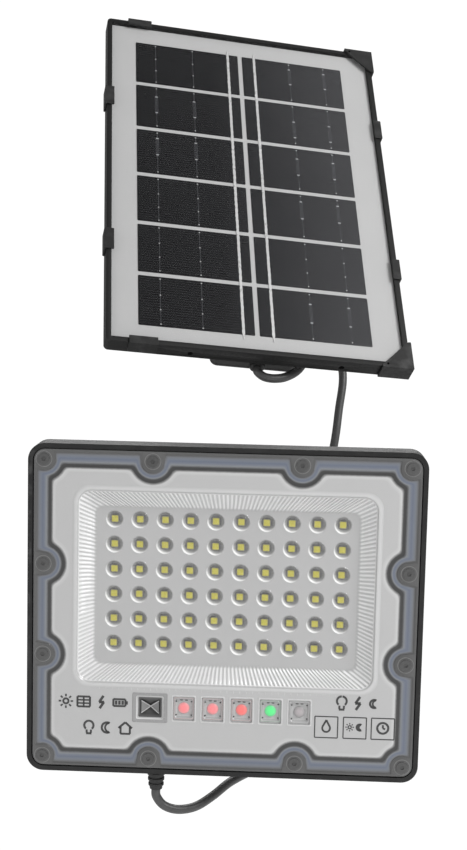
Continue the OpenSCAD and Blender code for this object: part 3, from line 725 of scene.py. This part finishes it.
def plate(name, outer, holes, value):
    """A flat face of the lens with holes, as its own mesh. value is its tone, kept as the attribute zone."""
    bm = bmesh.new()
    zone_layer = bm.verts.layers.float.new("zone")
    edges = []
    for ring in [outer] + holes:
        verts = []
        for p in ring:
            v = bm.verts.new(LAMP @ Vector(p))
            v[zone_layer] = value
            verts.append(v)
        edges += [bm.edges.new((a, b)) for a, b in zip(verts, verts[1:] + verts[:1])]
    bmesh.ops.triangle_fill(bm, use_beauty=True, use_dissolve=False, edges=edges)
    bmesh.ops.recalc_face_normals(bm, faces=bm.faces)
    out = LAMP.to_3x3() @ Vector((0, -1, 0))
    if sum(f.normal.dot(out) for f in bm.faces) < 0:
        bmesh.ops.reverse_faces(bm, faces=bm.faces)
    mesh = bpy.data.meshes.new(name)
    bm.to_mesh(mesh)
    bm.free()
    return finish_piece(new_object(name, mesh), "lamp", "lens_clear", LENS)


def lens_material():
    """The lens's bands and walls as tones by the attribute zone, with a painted highlight on the bead and
    painted shade below it and in the rib grooves, under a thin coat with fine grain.
    """
    n = Nodes("lens_zones")
    cells = n.noise(900, 2.0)
    wobble = n.math("MULTIPLY", n.math("SUBTRACT", cells, 0.5), 0.25)
    across = n.math("DIVIDE", n.math("ADD", n.zone(), wobble), LENS_DEPTH)
    tone = n.ramp(across, [(v / LENS_DEPTH, srgb(c)) for v, c in LENS_TONES])
    cloud = n.ramp(n.noise(26, 4.0), [(0.35, srgb(0)), (0.7, srgb(45))])
    n.link(n.mix(cloud, tone, srgb(150)), n.bsdf.inputs["Base Color"])
    n.link(n.spread(cells, 0.3, 0.4), n.bsdf.inputs["Roughness"])
    n.bsdf.inputs["Coat Weight"].default_value = 0.25
    n.bsdf.inputs["Coat Roughness"].default_value = 0.15
    n.bump(cells, 0.12)
    return n.material


# (zone, colour) from the outer edge to the recess's floor
LENS_DEPTH = 24.0
# 17.6 is a painted highlight on the bead's crest, 18.6 painted shade on its inner slope, 21.4 painted shade in
# the grooves
LENS_TONES = (
    (2.9, 108), (3.3, 88), (4.2, 79), (5.0, 84), (6.0, "6e7177"), (7.0, "6c727e"), (7.9, "626a7a"),
    (8.8, "6d7380"), (9.9, "7d8084"), (10.6, "5a5b5d"), (11.1, 48), (12.3, 50), (12.9, 122), (13.6, 198),
    (15.5, 184), (16.8, 192), (17.6, 203), (18.6, 172), (19.2, 202), (20.0, 228), (21.4, 197), (22.4, 178),
    (23.5, 181),
)
LENS = lens_material()
lens_sheet = piece("lens_sheet", lens, "lamp", "lens_clear", LENS, smooth=32, zoned=True)
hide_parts("front_lens")


def rect_ring(x, z, w, h, y, r=0.8):
    return at(box_ring(w, h, r, 3), x, z, y)


CIRCLE_SIDES = 28
CIRCLE = [
    (math.cos(2 * math.pi * k / CIRCLE_SIDES), math.sin(2 * math.pi * k / CIRCLE_SIDES))
    for k in range(CIRCLE_SIDES)
]


def circle_ring(x, z, r, y):
    return [(x + r * c, y, z + r * s) for c, s in CIRCLE]


openings = [rect_ring(x, z, w, h, FACE) for x, z, w, h in WINDOWS + [IR]]
plate("lens_face", face_edge, [bead_edge] + openings, 15.4)
plate("lens_floor", floor_edge, [circle_ring(x, z, HOLE, FLOOR) for x, z in LEDS], 23.4)

# ---------- LED cups, packages, phosphor and clear domes ----------
# turned profiles: (radius, depth behind the lens front); packages and gel: (size, corner radius, depth)
CUP_ROWS = ((HOLE, 5.55), (4.5, 5.6), (4.05, 5.8), (3.65, 6.9), (2.2, 8.1), (0.3, 8.15))
DOME_ROWS = (
    (HOLE + 0.3, 5.5), (HOLE - 0.05, 5.2), (4.1, 4.75), (3.1, 4.3), (2.0, 3.98), (0.9, 3.85), (0.1, 3.84),
)
PACKAGE_ROWS = ((4.1, 0.4, 8.0), (4.1, 0.4, 7.15), (3.8, 0.4, 6.95), (3.6, 0.6, 6.9), (3.3, 0.6, 7.05))
GEL_ROWS = ((3.5, 0.5, 7.0), (3.1, 0.5, 6.84), (1.4, 0.4, 6.78), (0.1, 0.02, 6.77))


def cup_tones():
    """A painted tone for each point of a cup: a painted highlight on the side away from the key light, painted
    shade towards it.
    """
    lit = [0.5 - 0.5 * (0.55 * c + 0.84 * s) for c, s in CIRCLE]
    flat = [0.3] * CIRCLE_SIDES
    rim = [0.42] * CIRCLE_SIDES
    upper, lower = [0.3 + 0.7 * q ** 2 for q in lit], [0.12 + 0.75 * q ** 2 for q in lit]
    return rim + upper + lower + [0.16 + 0.3 * q for q in lit] + flat + flat


cups, domes, packages, phosphor = Build(), Build(), Build(), Build()
for x, z in LEDS:
    cup = [circle_ring(x, z, r, FRONT + y) for r, y in CUP_ROWS]
    cups.add([p for ring in cup for p in ring], rings_of_quads(len(cup), CIRCLE_SIDES), cup_tones())
    domes.loops([circle_ring(x, z, r, FRONT + y) for r, y in DOME_ROWS], value=[0, 0.1, 0.3, 0.5, 0.7, 0.9, 1])
    packages.loops([rect_ring(x, z, w, w, FRONT + y, r) for w, r, y in PACKAGE_ROWS])
    phosphor.loops([rect_ring(x, z, w, w, FRONT + y, r) for w, r, y in GEL_ROWS], value=[0, 0.4, 0.8, 1])

# the cups' tones from cup_tones are a painted highlight and painted shade
CUP = polished("cup_metal", ((0.0, 96), (0.3, 146), (0.5, 190), (0.72, 236), (1.0, 255)), (0.25, 0.4), 700)
GEL_TONES = ((0.0, "c2bb62"), (0.4, "d0c84c"), (1.0, "c8c036"))
PHOSPHOR = mottled("phosphor_gel", GEL_TONES, "b5ad40", 0.4, 1500, 3.0, amount=0.5)
PACKAGE = finish_of("led_package", "8d8b80", 0.5, vary=0.06)
DOME = clear("dome_clear", 225, 0.1, 0.05)
piece("led_cups", cups, "lamp", "reflector_white", CUP, smooth=60, zoned=True)
piece("led_domes", domes, "lamp", "lens_clear", DOME, smooth=60, zoned=True)
led_packages = piece("led_packages", packages, "lamp", "led_phosphor", PACKAGE)
piece("led_gel", phosphor, "lamp", "led_phosphor", PHOSPHOR, smooth=60, zoned=True)
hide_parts("leds")

# ---------- tick marks below the recess ----------
TICKS, TICK_START, TICK_RUN, TICK_Z = 40, -66, 133, -42.6
marks = Build()
for k in range(TICKS):
    x = TICK_START + TICK_RUN * k / (TICKS - 1)
    stud(marks, x, TICK_Z, (0.4, 1.3, 0.2), (0.3, 1.2, 0.15), FRONT + 0.33, FRONT + 0.22)
piece("lens_ticks", marks, "lamp", "lens_clear", clear("tick_clear", 222, 0.8))

# ---------- windows of the status lights ----------
# frames inwards: (narrower by, lower by, depth behind the lens front)
FRAME_ROWS = (
    (0, 0, 0.34), (0.5, 0.5, 0.15), (1.5, 1.6, 0.2), (2.2, 2.4, 1.1), (2.9, 3.6, 1.2), (3.6, 4.4, 0.8),
    (4.6, 5.6, 1.5),
)
IR_ROWS = ((0, 0, 0.34), (0.5, 0.5, 0.1), (4.0, 3.2, 0.2), (4.8, 4.2, 0.9), (6.4, 5.4, 1.2))
PIN_BASE, PIN_TOP = FRONT + 1.6, FRONT + 1.25


def frame_rings(window, rows):
    x, z, w, h = window
    return [rect_ring(x, z, w - dw, h - dh, FRONT + y) for dw, dh, y in rows]


frames, wells, pins = Build(), Build(), Build()
for window in WINDOWS:
    x, z = window[:2]
    rings = frame_rings(window, FRAME_ROWS)
    frames.loops(rings, value=[0, 0.15, 0.3, 0.5, 0.62, 0.8, 1])
    bottom = [rect_ring(x, z, 6.8, 7.0, FRONT + 1.9), rect_ring(x, z, 0.4, 0.4, FRONT + 1.9, 0.1)]
    wells.loops([rings[-1]] + bottom, value=[0, 0.5, 1])
    for sx in SIGNS:
        for sz in SIGNS:
            stud(pins, x + sx * 4.1, z + sz * 3.7, (0.9, 0.6, 0.2), (0.8, 0.5, 0.2), PIN_BASE, PIN_TOP)
        stud(pins, x + sx * 1.3, z + 4.5, (1.6, 0.5, 0.2), (1.5, 0.4, 0.2), PIN_BASE, PIN_TOP)

# ---------- window of the sensor: a sunken pyramid with two facets painted as lit and four edges painted as highlights ---
frames.loops(frame_rings(IR, IR_ROWS), value=[0.5, 0.42, 0.46, 0.75, 0.9])
x, z, w, h = IR
pyramid, blades, edges = Build(), Build(), Build()
pyramid.loops([
    rect_ring(x, z, w - 6.4, h - 5.4, FRONT + 1.2, 0.3), rect_ring(x, z - 0.4, 9.6, 7.4, FRONT + 2.6, 0.3),
    rect_ring(x, z, 2.4, 1.6, FRONT + 4.2, 0.2), rect_ring(x, z, 0.2, 0.2, FRONT + 4.2, 0.05),
], value=[0.25, 0.6, 0.85, 1])
heart = (x + 0.2, FRONT + 3.3, z)
corners = [(x + sx * 4.7, FRONT + 1.75, z + sz * 3.4) for sx, sz in ((-1, -1), (1, -1), (1, 1), (-1, 1))]
for k in (1, 3):
    blades.add([corners[k], corners[(k + 1) % 4], heart], [(0, 1, 2)])
for k, (cx, cy, cz) in enumerate(corners):
    off = Vector((0.16, 0, 0.2 if k in (1, 3) else -0.2))
    a, b = Vector((heart[0], FRONT + 3.1, heart[2])), Vector((cx, cy - 0.12, cz))
    edges.add([a + off, b + off, b - off, a - off], [(0, 1, 2, 3)])

MOULDING_TONES = ((0.0, 196), (0.2, 206), (0.42, 150), (0.5, 158), (0.66, 226), (0.8, 186), (1.0, 150))
MOULDING = polished("window_moulding", MOULDING_TONES, (0.16, 0.3), 900)
WELL = mottled("window_well", ((0.0, 196), (0.6, 188), (1.0, 178)), 168, 0.35, 800)
SENSOR = mottled("sensor_well", ((0.0, 118), (0.3, 96), (0.62, 46), (1.0, 90)), 84, 0.22, 300, 3.0)
# painted light: two facets paler as if lit, four edges paler still as highlights
FACET, EDGE = finish_of("sensor_facet", 122, 0.2, vary=0.25), finish_of("sensor_edge", 176, 0.25, vary=0.2)
piece("window_frames", frames, "lamp", "lens_clear", MOULDING, smooth=30, zoned=True)
piece("window_wells", wells, "lamp", "pcb_white", WELL, zoned=True)
piece("window_pins", pins, "lamp", "chip_black")
piece("sensor_pyramid", pyramid, "lamp", "ir_window", SENSOR, smooth=20, zoned=True)
piece("sensor_facets", blades, "lamp", "lens_clear", FACET, weld=False)
piece("sensor_edges", edges, "lamp", "lens_clear", EDGE, weld=False)


# domed indicators: (edge colour, middle colour, glow), from left to right
RED, DEEP_RED = ("c99fa0", "f07f83"), ("c98a88", "ee6f6c")
LIGHTS = ((*RED, 0.22), (*RED, 0.22), (*DEEP_RED, 0.25), ("7fb893", "4fdc7c", 0.35), ("9a9a9a", "b5aeb0", 0.0))
LIGHT_ROWS = ((3.1, 1.95), (3.0, 1.7), (2.5, 1.35), (1.6, 1.05), (0.7, 0.95), (0.05, 0.93))
# colours of the painted glow round the four lit windows
GLOW_HALO_COLOURS = ("d3a8a8", "d3a8a8", "cf9a98", "97c2a3")


def indicator(index, edge, core, glow):
    """A small domed status light, lit when glow is above nothing."""
    x, z = WINDOWS[index][:2]
    name = f"indicator_{index + 1}"
    dome = Build()
    dome.loops([circle_ring(x, z, r, FRONT + y) for r, y in LIGHT_ROWS], value=[0, 0.1, 0.35, 0.6, 0.85, 1])
    look = mottled(name + "_mat", ((0.0, edge), (0.7, core)), edge, 0.3, 1300, amount=0.3, glow=glow)
    piece(name, dome, "lamp", "indicator_clear", look, smooth=60, zoned=True)


for i, light in enumerate(LIGHTS):
    indicator(i, *light)

# painted glow of each lit window on the lens round it
for i, colour in enumerate(GLOW_HALO_COLOURS):
    x, z = WINDOWS[i][:2]
    halo = Build()
    halo.loops([rect_ring(x, z, 10.6, 11.6, FRONT + 1.18), rect_ring(x, z, 9.8, 10.4, FRONT + 1.15)])
    look = finish_of(f"painted_glow_{i + 1}", colour, 0.3, vary=0.1)
    piece(f"window_painted_glow_{i + 1}", halo, "lamp", "indicator_clear", look)

# ---------- screw wells ----------
WELL_ROWS = ((4.5, -0.01), (4.2, -0.08), (3.9, 0.05), (3.5, 0.3), (3.0, 0.32), (2.6, 0.1), (2.2, 0.3))
wells = Build()
for x, z in SCREWS:
    rings = [circle_ring(x, z, r, FRONT + y) for r, y in WELL_ROWS]
    wells.loops(rings, value=[0.0, 0.6, 0.2, 0.0, 0.1, 1.0, 0.2])
# the pale rings are painted highlights round each screw on a darker well
SCREW_WELL = mottled("screw_wells", ((0.0, 84), (1.0, 158)), 78, 0.35, 700, amount=0.4)
piece("screw_wells", wells, "lamp", "lens_clear", SCREW_WELL, smooth=40, zoned=True)

# ---------- generic pictograms in place of the printed words ----------
ink = Build()
INK_Y = FRONT + 0.3
WEIGHT = 1.45


def prism(ring):
    ink.loops([[(x, INK_Y + 0.1, z) for x, z in ring], [(x, INK_Y - 0.02, z) for x, z in ring]], cap=True)


def bar(x0, z0, x1, z1, t):
    prism(stroke(x0, z0, x1, z1, t * WEIGHT / 2))


def hoop(x, z, r, t, a0=0, a1=360):
    """A ring, or a part of one from the angle a0 to a1, of thickness t."""
    steps = max(6, int(abs(a1 - a0) / 15))
    near, far = r - t * WEIGHT / 2, r + t * WEIGHT / 2
    for k in range(steps):
        a, b = (math.radians(a0 + (a1 - a0) * q / steps) for q in (k, k + 1))
        polar = (near, a), (far, a), (far, b), (near, b)
        prism([(x + q * math.cos(w), z + q * math.sin(w)) for q, w in polar])


def outline_box(x, z, w, h, t):
    for sx in (-1, 1):
        bar(x + sx * w / 2, z - h / 2, x + sx * w / 2, z + h / 2, t)
        bar(x - w / 2, z + sx * h / 2, x + w / 2, z + sx * h / 2, t)


def sun(x, z, s):
    hoop(x, z, s * 0.28, s * 0.15)
    for k in range(8):
        c, d = s * math.cos(math.radians(45 * k)), s * math.sin(math.radians(45 * k))
        bar(x + 0.5 * c, z + 0.5 * d, x + 0.78 * c, z + 0.78 * d, s * 0.13)


def panel_icon(x, z, s):
    outline_box(x, z, s * 1.35, s * 1.1, 0.75)
    bar(x, z - s * 0.55, x, z + s * 0.55, 0.6)
    for dz in (-0.18, 0.18):
        bar(x - s * 0.67, z + dz * s, x + s * 0.67, z + dz * s, 0.6)


def bulb(x, z, s):
    hoop(x, z + s * 0.18, s * 0.48, 0.8, -50, 230)
    for dx in (-0.22, 0.22):
        bar(x + dx * s, z - s * 0.28, x + dx * s, z - s * 0.62, 0.75)
    bar(x - s * 0.28, z - s * 0.68, x + s * 0.28, z - s * 0.68, 0.8)


def battery(x, z, s):
    outline_box(x, z, s * 1.3, s * 0.75, 0.75)
    bar(x + s * 0.78, z - s * 0.18, x + s * 0.78, z + s * 0.18, 0.9)
    for dx in (-0.35, 0.0, 0.35):
        bar(x + dx * s, z - s * 0.22, x + dx * s, z + s * 0.22, 0.9)


def moon(x, z, s):
    hoop(x, z, s * 0.55, 0.8, 60, 300)
    hoop(x + s * 0.3, z, s * 0.5, 0.7, 100, 260)


def house(x, z, s):
    bar(x - s * 0.7, z, x, z + s * 0.62, 0.8)
    bar(x + s * 0.7, z, x, z + s * 0.62, 0.8)
    for sx in (-1, 1):
        bar(x + sx * s * 0.48, z + s * 0.12, x + sx * s * 0.48, z - s * 0.6, 0.75)
    bar(x - s * 0.5, z - s * 0.6, x + s * 0.5, z - s * 0.6, 0.75)


def bolt(x, z, s):
    bar(x + s * 0.2, z + s * 0.7, x - s * 0.25, z, 0.95)
    bar(x - s * 0.28, z - s * 0.02, x + s * 0.28, z + s * 0.02, 0.95)
    bar(x + s * 0.25, z, x - s * 0.2, z - s * 0.7, 0.95)


def drop(x, z, s):
    hoop(x, z - s * 0.2, s * 0.42, 0.7, 160, 380)
    bar(x - s * 0.4, z - s * 0.05, x, z + s * 0.72, 0.7)
    bar(x + s * 0.4, z - s * 0.05, x, z + s * 0.72, 0.7)


def clock(x, z, s):
    hoop(x, z, s * 0.6, 0.8)
    bar(x, z, x, z + s * 0.36, 0.7)
    bar(x, z, x + s * 0.26, z - s * 0.1, 0.7)


for i, icon in enumerate((sun, panel_icon, bolt, battery)):
    icon(-84.0 + i * 9.6, -50.3, 5.0)
for i, icon in enumerate((bulb, moon, house)):
    icon(-71.5 + i * 9.8, -64.3, 5.2)
for i, icon in enumerate((bulb, bolt, moon)):
    icon(63.5 + i * 8.6, -46.3, (5.4, 5.2, 4.0)[i])
for x, icons in ((55.6, (drop,)), (70.8, (sun, moon)), (85.7, (clock,))):
    outline_box(x, -59.9, 12.2, 11.6, 0.42)
    for k, icon in enumerate(icons):
        shift = (k - (len(icons) - 1) / 2) * 5.4
        icon(x + shift, -59.5, 4.9 if len(icons) == 1 else 3.0)
PRINT = finish_of("print_ink", 62, 0.55, vary=0.08, bump=0.05)
piece("printed_pictograms", ink, "lamp", "chip_black", PRINT)

# ---------- solar laminate: each face's Y is its depth behind the panel's front ----------
CELL_W, CELL_H, COLUMNS, ROWS = 63.8, 33.4, 2, 6
PITCH_X, PITCH_Z = CELL_W + 2.7, CELL_H + 2.7
LAMINATE = (-1.1, -1.1)
FINGERS = 20
FINGER_Y, LINE_Y, CONTACT_Y, PAD_Y = 1.085, 1.082, 1.08, 1.03
# across a cell of each column, as shares of its width: two printed contacts and the tinned ribbon
BUSBARS = ((0.19, 0.55), (0.47, 0.82))
RIBBONS = (0.90, 0.12)
# in each column, the rows whose contacts are a pointed outline instead of four pads
OUTLINED = ((3, 4), (0, 2, 3, 4, 5))
CONTACT_W, CONTACT_H, CONTACT_TIP = 1.5, 6.4, 7.6
RIBBON_HALF, RIBBON_OVERRUN, RIBBON_STEP = 0.8, 3, 1.1


def cell_at(i, j):
    return LAMINATE[0] + (i - 0.5) * PITCH_X, LAMINATE[1] + (j - 2.5) * PITCH_Z


cells, fingers, busbars, pads, ribbons = Build(), Build(), Build(), Build(), Build()


def pointed_outline(x, z):
    """A contact's outline, drawn with thin strokes, that meets in a point at each end."""
    half = CONTACT_W / 2
    ends = [(0, CONTACT_TIP), (half, CONTACT_H), (half, -CONTACT_H), (0, -CONTACT_TIP), (-half, -CONTACT_H),
            (-half, CONTACT_H)]
    for (ax, az), (cx, cz) in zip(ends, ends[1:] + ends[:1]):
        patch(busbars, stroke(x + ax, z + az, x + cx, z + cz, 0.1), CONTACT_Y)
    for pz in (z + CONTACT_H, z - CONTACT_H):
        stud(pads, x, pz, (1.6, 0.6, 0.2), (1.5, 0.5, 0.2), CONTACT_Y, PAD_Y)


def cell(i, j):
    """One cell: its silicon, its printed fingers and its two contacts."""
    x, z = cell_at(i, j)
    left, right, low, high = x - CELL_W / 2, x + CELL_W / 2, z - CELL_H / 2, z + CELL_H / 2
    cells.loops([
        at(box_ring(CELL_W, CELL_H, 0.5, 2), x, z, 1.38), at(box_ring(CELL_W, CELL_H, 0.5, 2), x, z, 1.14),
        at(box_ring(CELL_W - 0.3, CELL_H - 0.3, 0.4, 2), x, z, 1.1),
    ], cap=True)
    for k in range(1, FINGERS):
        fz = low + CELL_H * k / FINGERS
        patch(fingers, rectangle(left + 0.5, fz - 0.07, right - 0.5, fz + 0.07), FINGER_Y)
    for share in BUSBARS[i] + (RIBBONS[i],):
        bx = left + CELL_W * share
        patch(busbars, rectangle(bx - 0.1, low + 1, bx + 0.1, high - 1), LINE_Y)
        if share == RIBBONS[i]:
            continue
        outlined = j in OUTLINED[i]
        for pz in (15.2, -15.2) if outlined else (15.2, 4.2, -5.6, -15.2):
            stud(pads, bx, z + pz, (0.75, 0.75, 0.25), (0.6, 0.6, 0.2), CONTACT_Y, PAD_Y)
        if outlined:
            pointed_outline(bx, z + (4.5, 2.0, -4.0)[(j + i) % 3])


def ribbon(i):
    """The tinned ribbon down one column, with slightly uneven edges and thinner ends."""
    x = cell_at(i, 0)[0] + CELL_W * (RIBBONS[i] - 0.5)
    bottom, top = cell_at(i, 0)[1] - CELL_H / 2, cell_at(i, ROWS - 1)[1] + CELL_H / 2
    run = top - bottom + 2 * RIBBON_OVERRUN
    count = int(run / RIBBON_STEP)
    left, right = [], []
    for k in range(count + 1):
        z = bottom - RIBBON_OVERRUN + run * k / count
        jag = 0.16 * math.sin(k * 2.39) + 0.1 * math.sin(k * 5.7 + i)
        half = RIBBON_HALF + (0.1 * math.sin(k * 1.7) if bottom < z < top else -0.42)
        left.append((x - half + jag * 0.5, CONTACT_Y, z))
        right.append((x + half + jag * 0.3, CONTACT_Y, z))
    crown = [(px + 0.14, 0.93, z) for px, y, z in left] + [(px - 0.14, 0.93, z) for px, y, z in right]
    m = count + 1
    faces = []
    for k in range(count):
        for a, b in ((0, 2 * m), (2 * m, 3 * m), (3 * m, m)):
            faces.append((a + k, a + k + 1, b + k + 1, b + k))
    ribbons.add(left + right + crown, faces)


for i in range(COLUMNS):
    for j in range(ROWS):
        cell(i, j)
    ribbon(i)


def silicon():
    """Near-black cells with a painted reflection of the room, which makes them paler from left to right across
    the panel.
    """
    n = Nodes("cell_silicon")
    spot = n.add("ShaderNodeAttribute", attribute_name="local")
    split = n.add("ShaderNodeSeparateXYZ")
    n.link(spot.outputs["Vector"], split.inputs[0])
    across = n.math("DIVIDE", n.math("ADD", split.outputs["X"], 68.0), 136.0, clamp=True)
    # the painted reflection, paler towards the right
    stops = ((0.0, "0c0c0e"), (0.36, "111113"), (0.5, "262628"), (1.0, "474749"))
    shade = n.ramp(across, [(place, srgb(c)) for place, c in stops])
    cloud = n.math("MULTIPLY", n.noise(26, 4.0), 0.35)
    n.link(n.mix(cloud, shade, srgb("141518")), n.bsdf.inputs["Base Color"])
    n.link(n.spread(n.noise(500, 2.0), 0.24, 0.34), n.bsdf.inputs["Roughness"])
    n.bsdf.inputs["Specular IOR Level"].default_value = 0.06
    n.bump(n.noise(900, 2.0), 0.02)
    return n.material


FINGER = finish_of("finger_silver", "3c3e41", 0.5, vary=0.2, spec=0.2)
CONTACT = finish_of("contact_silver", "55565a", 0.4, vary=0.2, spec=0.3)
PAD = finish_of("pad_silver", "b6b7b8", 0.35, vary=0.1)
solar_cells = piece("silicon_cells", cells, "panel", "cell_blue_black", silicon(), local=True)
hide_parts("solar_cells")
piece("cell_fingers", fingers, "panel", "cell_blue_black", FINGER)
piece("cell_contacts", busbars, "panel", "ribbon_tin", CONTACT)
piece("contact_pads", pads, "panel", "ribbon_tin", PAD)
cell_ribbons = piece("tinned_ribbons", ribbons, "panel", "ribbon_tin")
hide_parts("cell_ribbons")

# ---------- studio ----------
world = bpy.data.worlds.new("Studio")
bpy.context.scene.world = world
world.use_nodes = True
WORLD_FOR_LIGHT, WORLD_SEEN = 0.38, 1.05
sky = world.node_tree.nodes["Background"]
sky.inputs["Color"].default_value = srgb(255)
seen = world.node_tree.nodes.new("ShaderNodeLightPath")
level = world.node_tree.nodes.new("ShaderNodeMapRange")
level.inputs["To Min"].default_value = WORLD_FOR_LIGHT
level.inputs["To Max"].default_value = WORLD_SEEN
world.node_tree.links.new(seen.outputs["Is Camera Ray"], level.inputs["Value"])
world.node_tree.links.new(level.outputs["Result"], sky.inputs["Strength"])
bpy.context.scene.view_settings.view_transform = "Standard"


def softbox(name, location, target, size, power):
    light = bpy.data.lights.new(name, "AREA")
    light.shape = "RECTANGLE"
    light.size, light.size_y = size
    light.energy = power
    obj = new_object(name, light)
    obj.location = location
    obj.rotation_euler = (Vector(target) - Vector(location)).to_track_quat("-Z", "Y").to_euler()


softbox("Key", (0.85, -0.85, 0.7), (0, -0.05, 0), (0.5, 0.5), 13.2)
softbox("Fill", (-0.95, -0.8, 0.1), (0, -0.05, 0), (0.8, 1.0), 1.7)
softbox("Top", (0.0, 0.42, 1.0), (0, -0.08, 0), (0.9, 0.5), 8)
softbox("Low", (0.1, -0.9, -0.9), (0, -0.05, 0), (0.7, 0.4), 2)

FLOOR_HALF, FLOOR_Z = 4, -0.47
floor_corners = [(x, y, FLOOR_Z) for x, y in rectangle(-FLOOR_HALF, -FLOOR_HALF, FLOOR_HALF, FLOOR_HALF)]
floor_mesh = bpy.data.meshes.new("floor")
floor_mesh.from_pydata(floor_corners, [], [(0, 1, 2, 3)])
floor_mesh.materials.append(finish_of("studio_floor", 250, 0.8, vary=0.01, bump=0.02))
glow = floor_mesh.materials[0].node_tree.nodes["Principled BSDF"]
glow.inputs["Emission Color"].default_value = srgb(255)
glow.inputs["Emission Strength"].default_value = 0.16
floor = new_object("floor", floor_mesh)
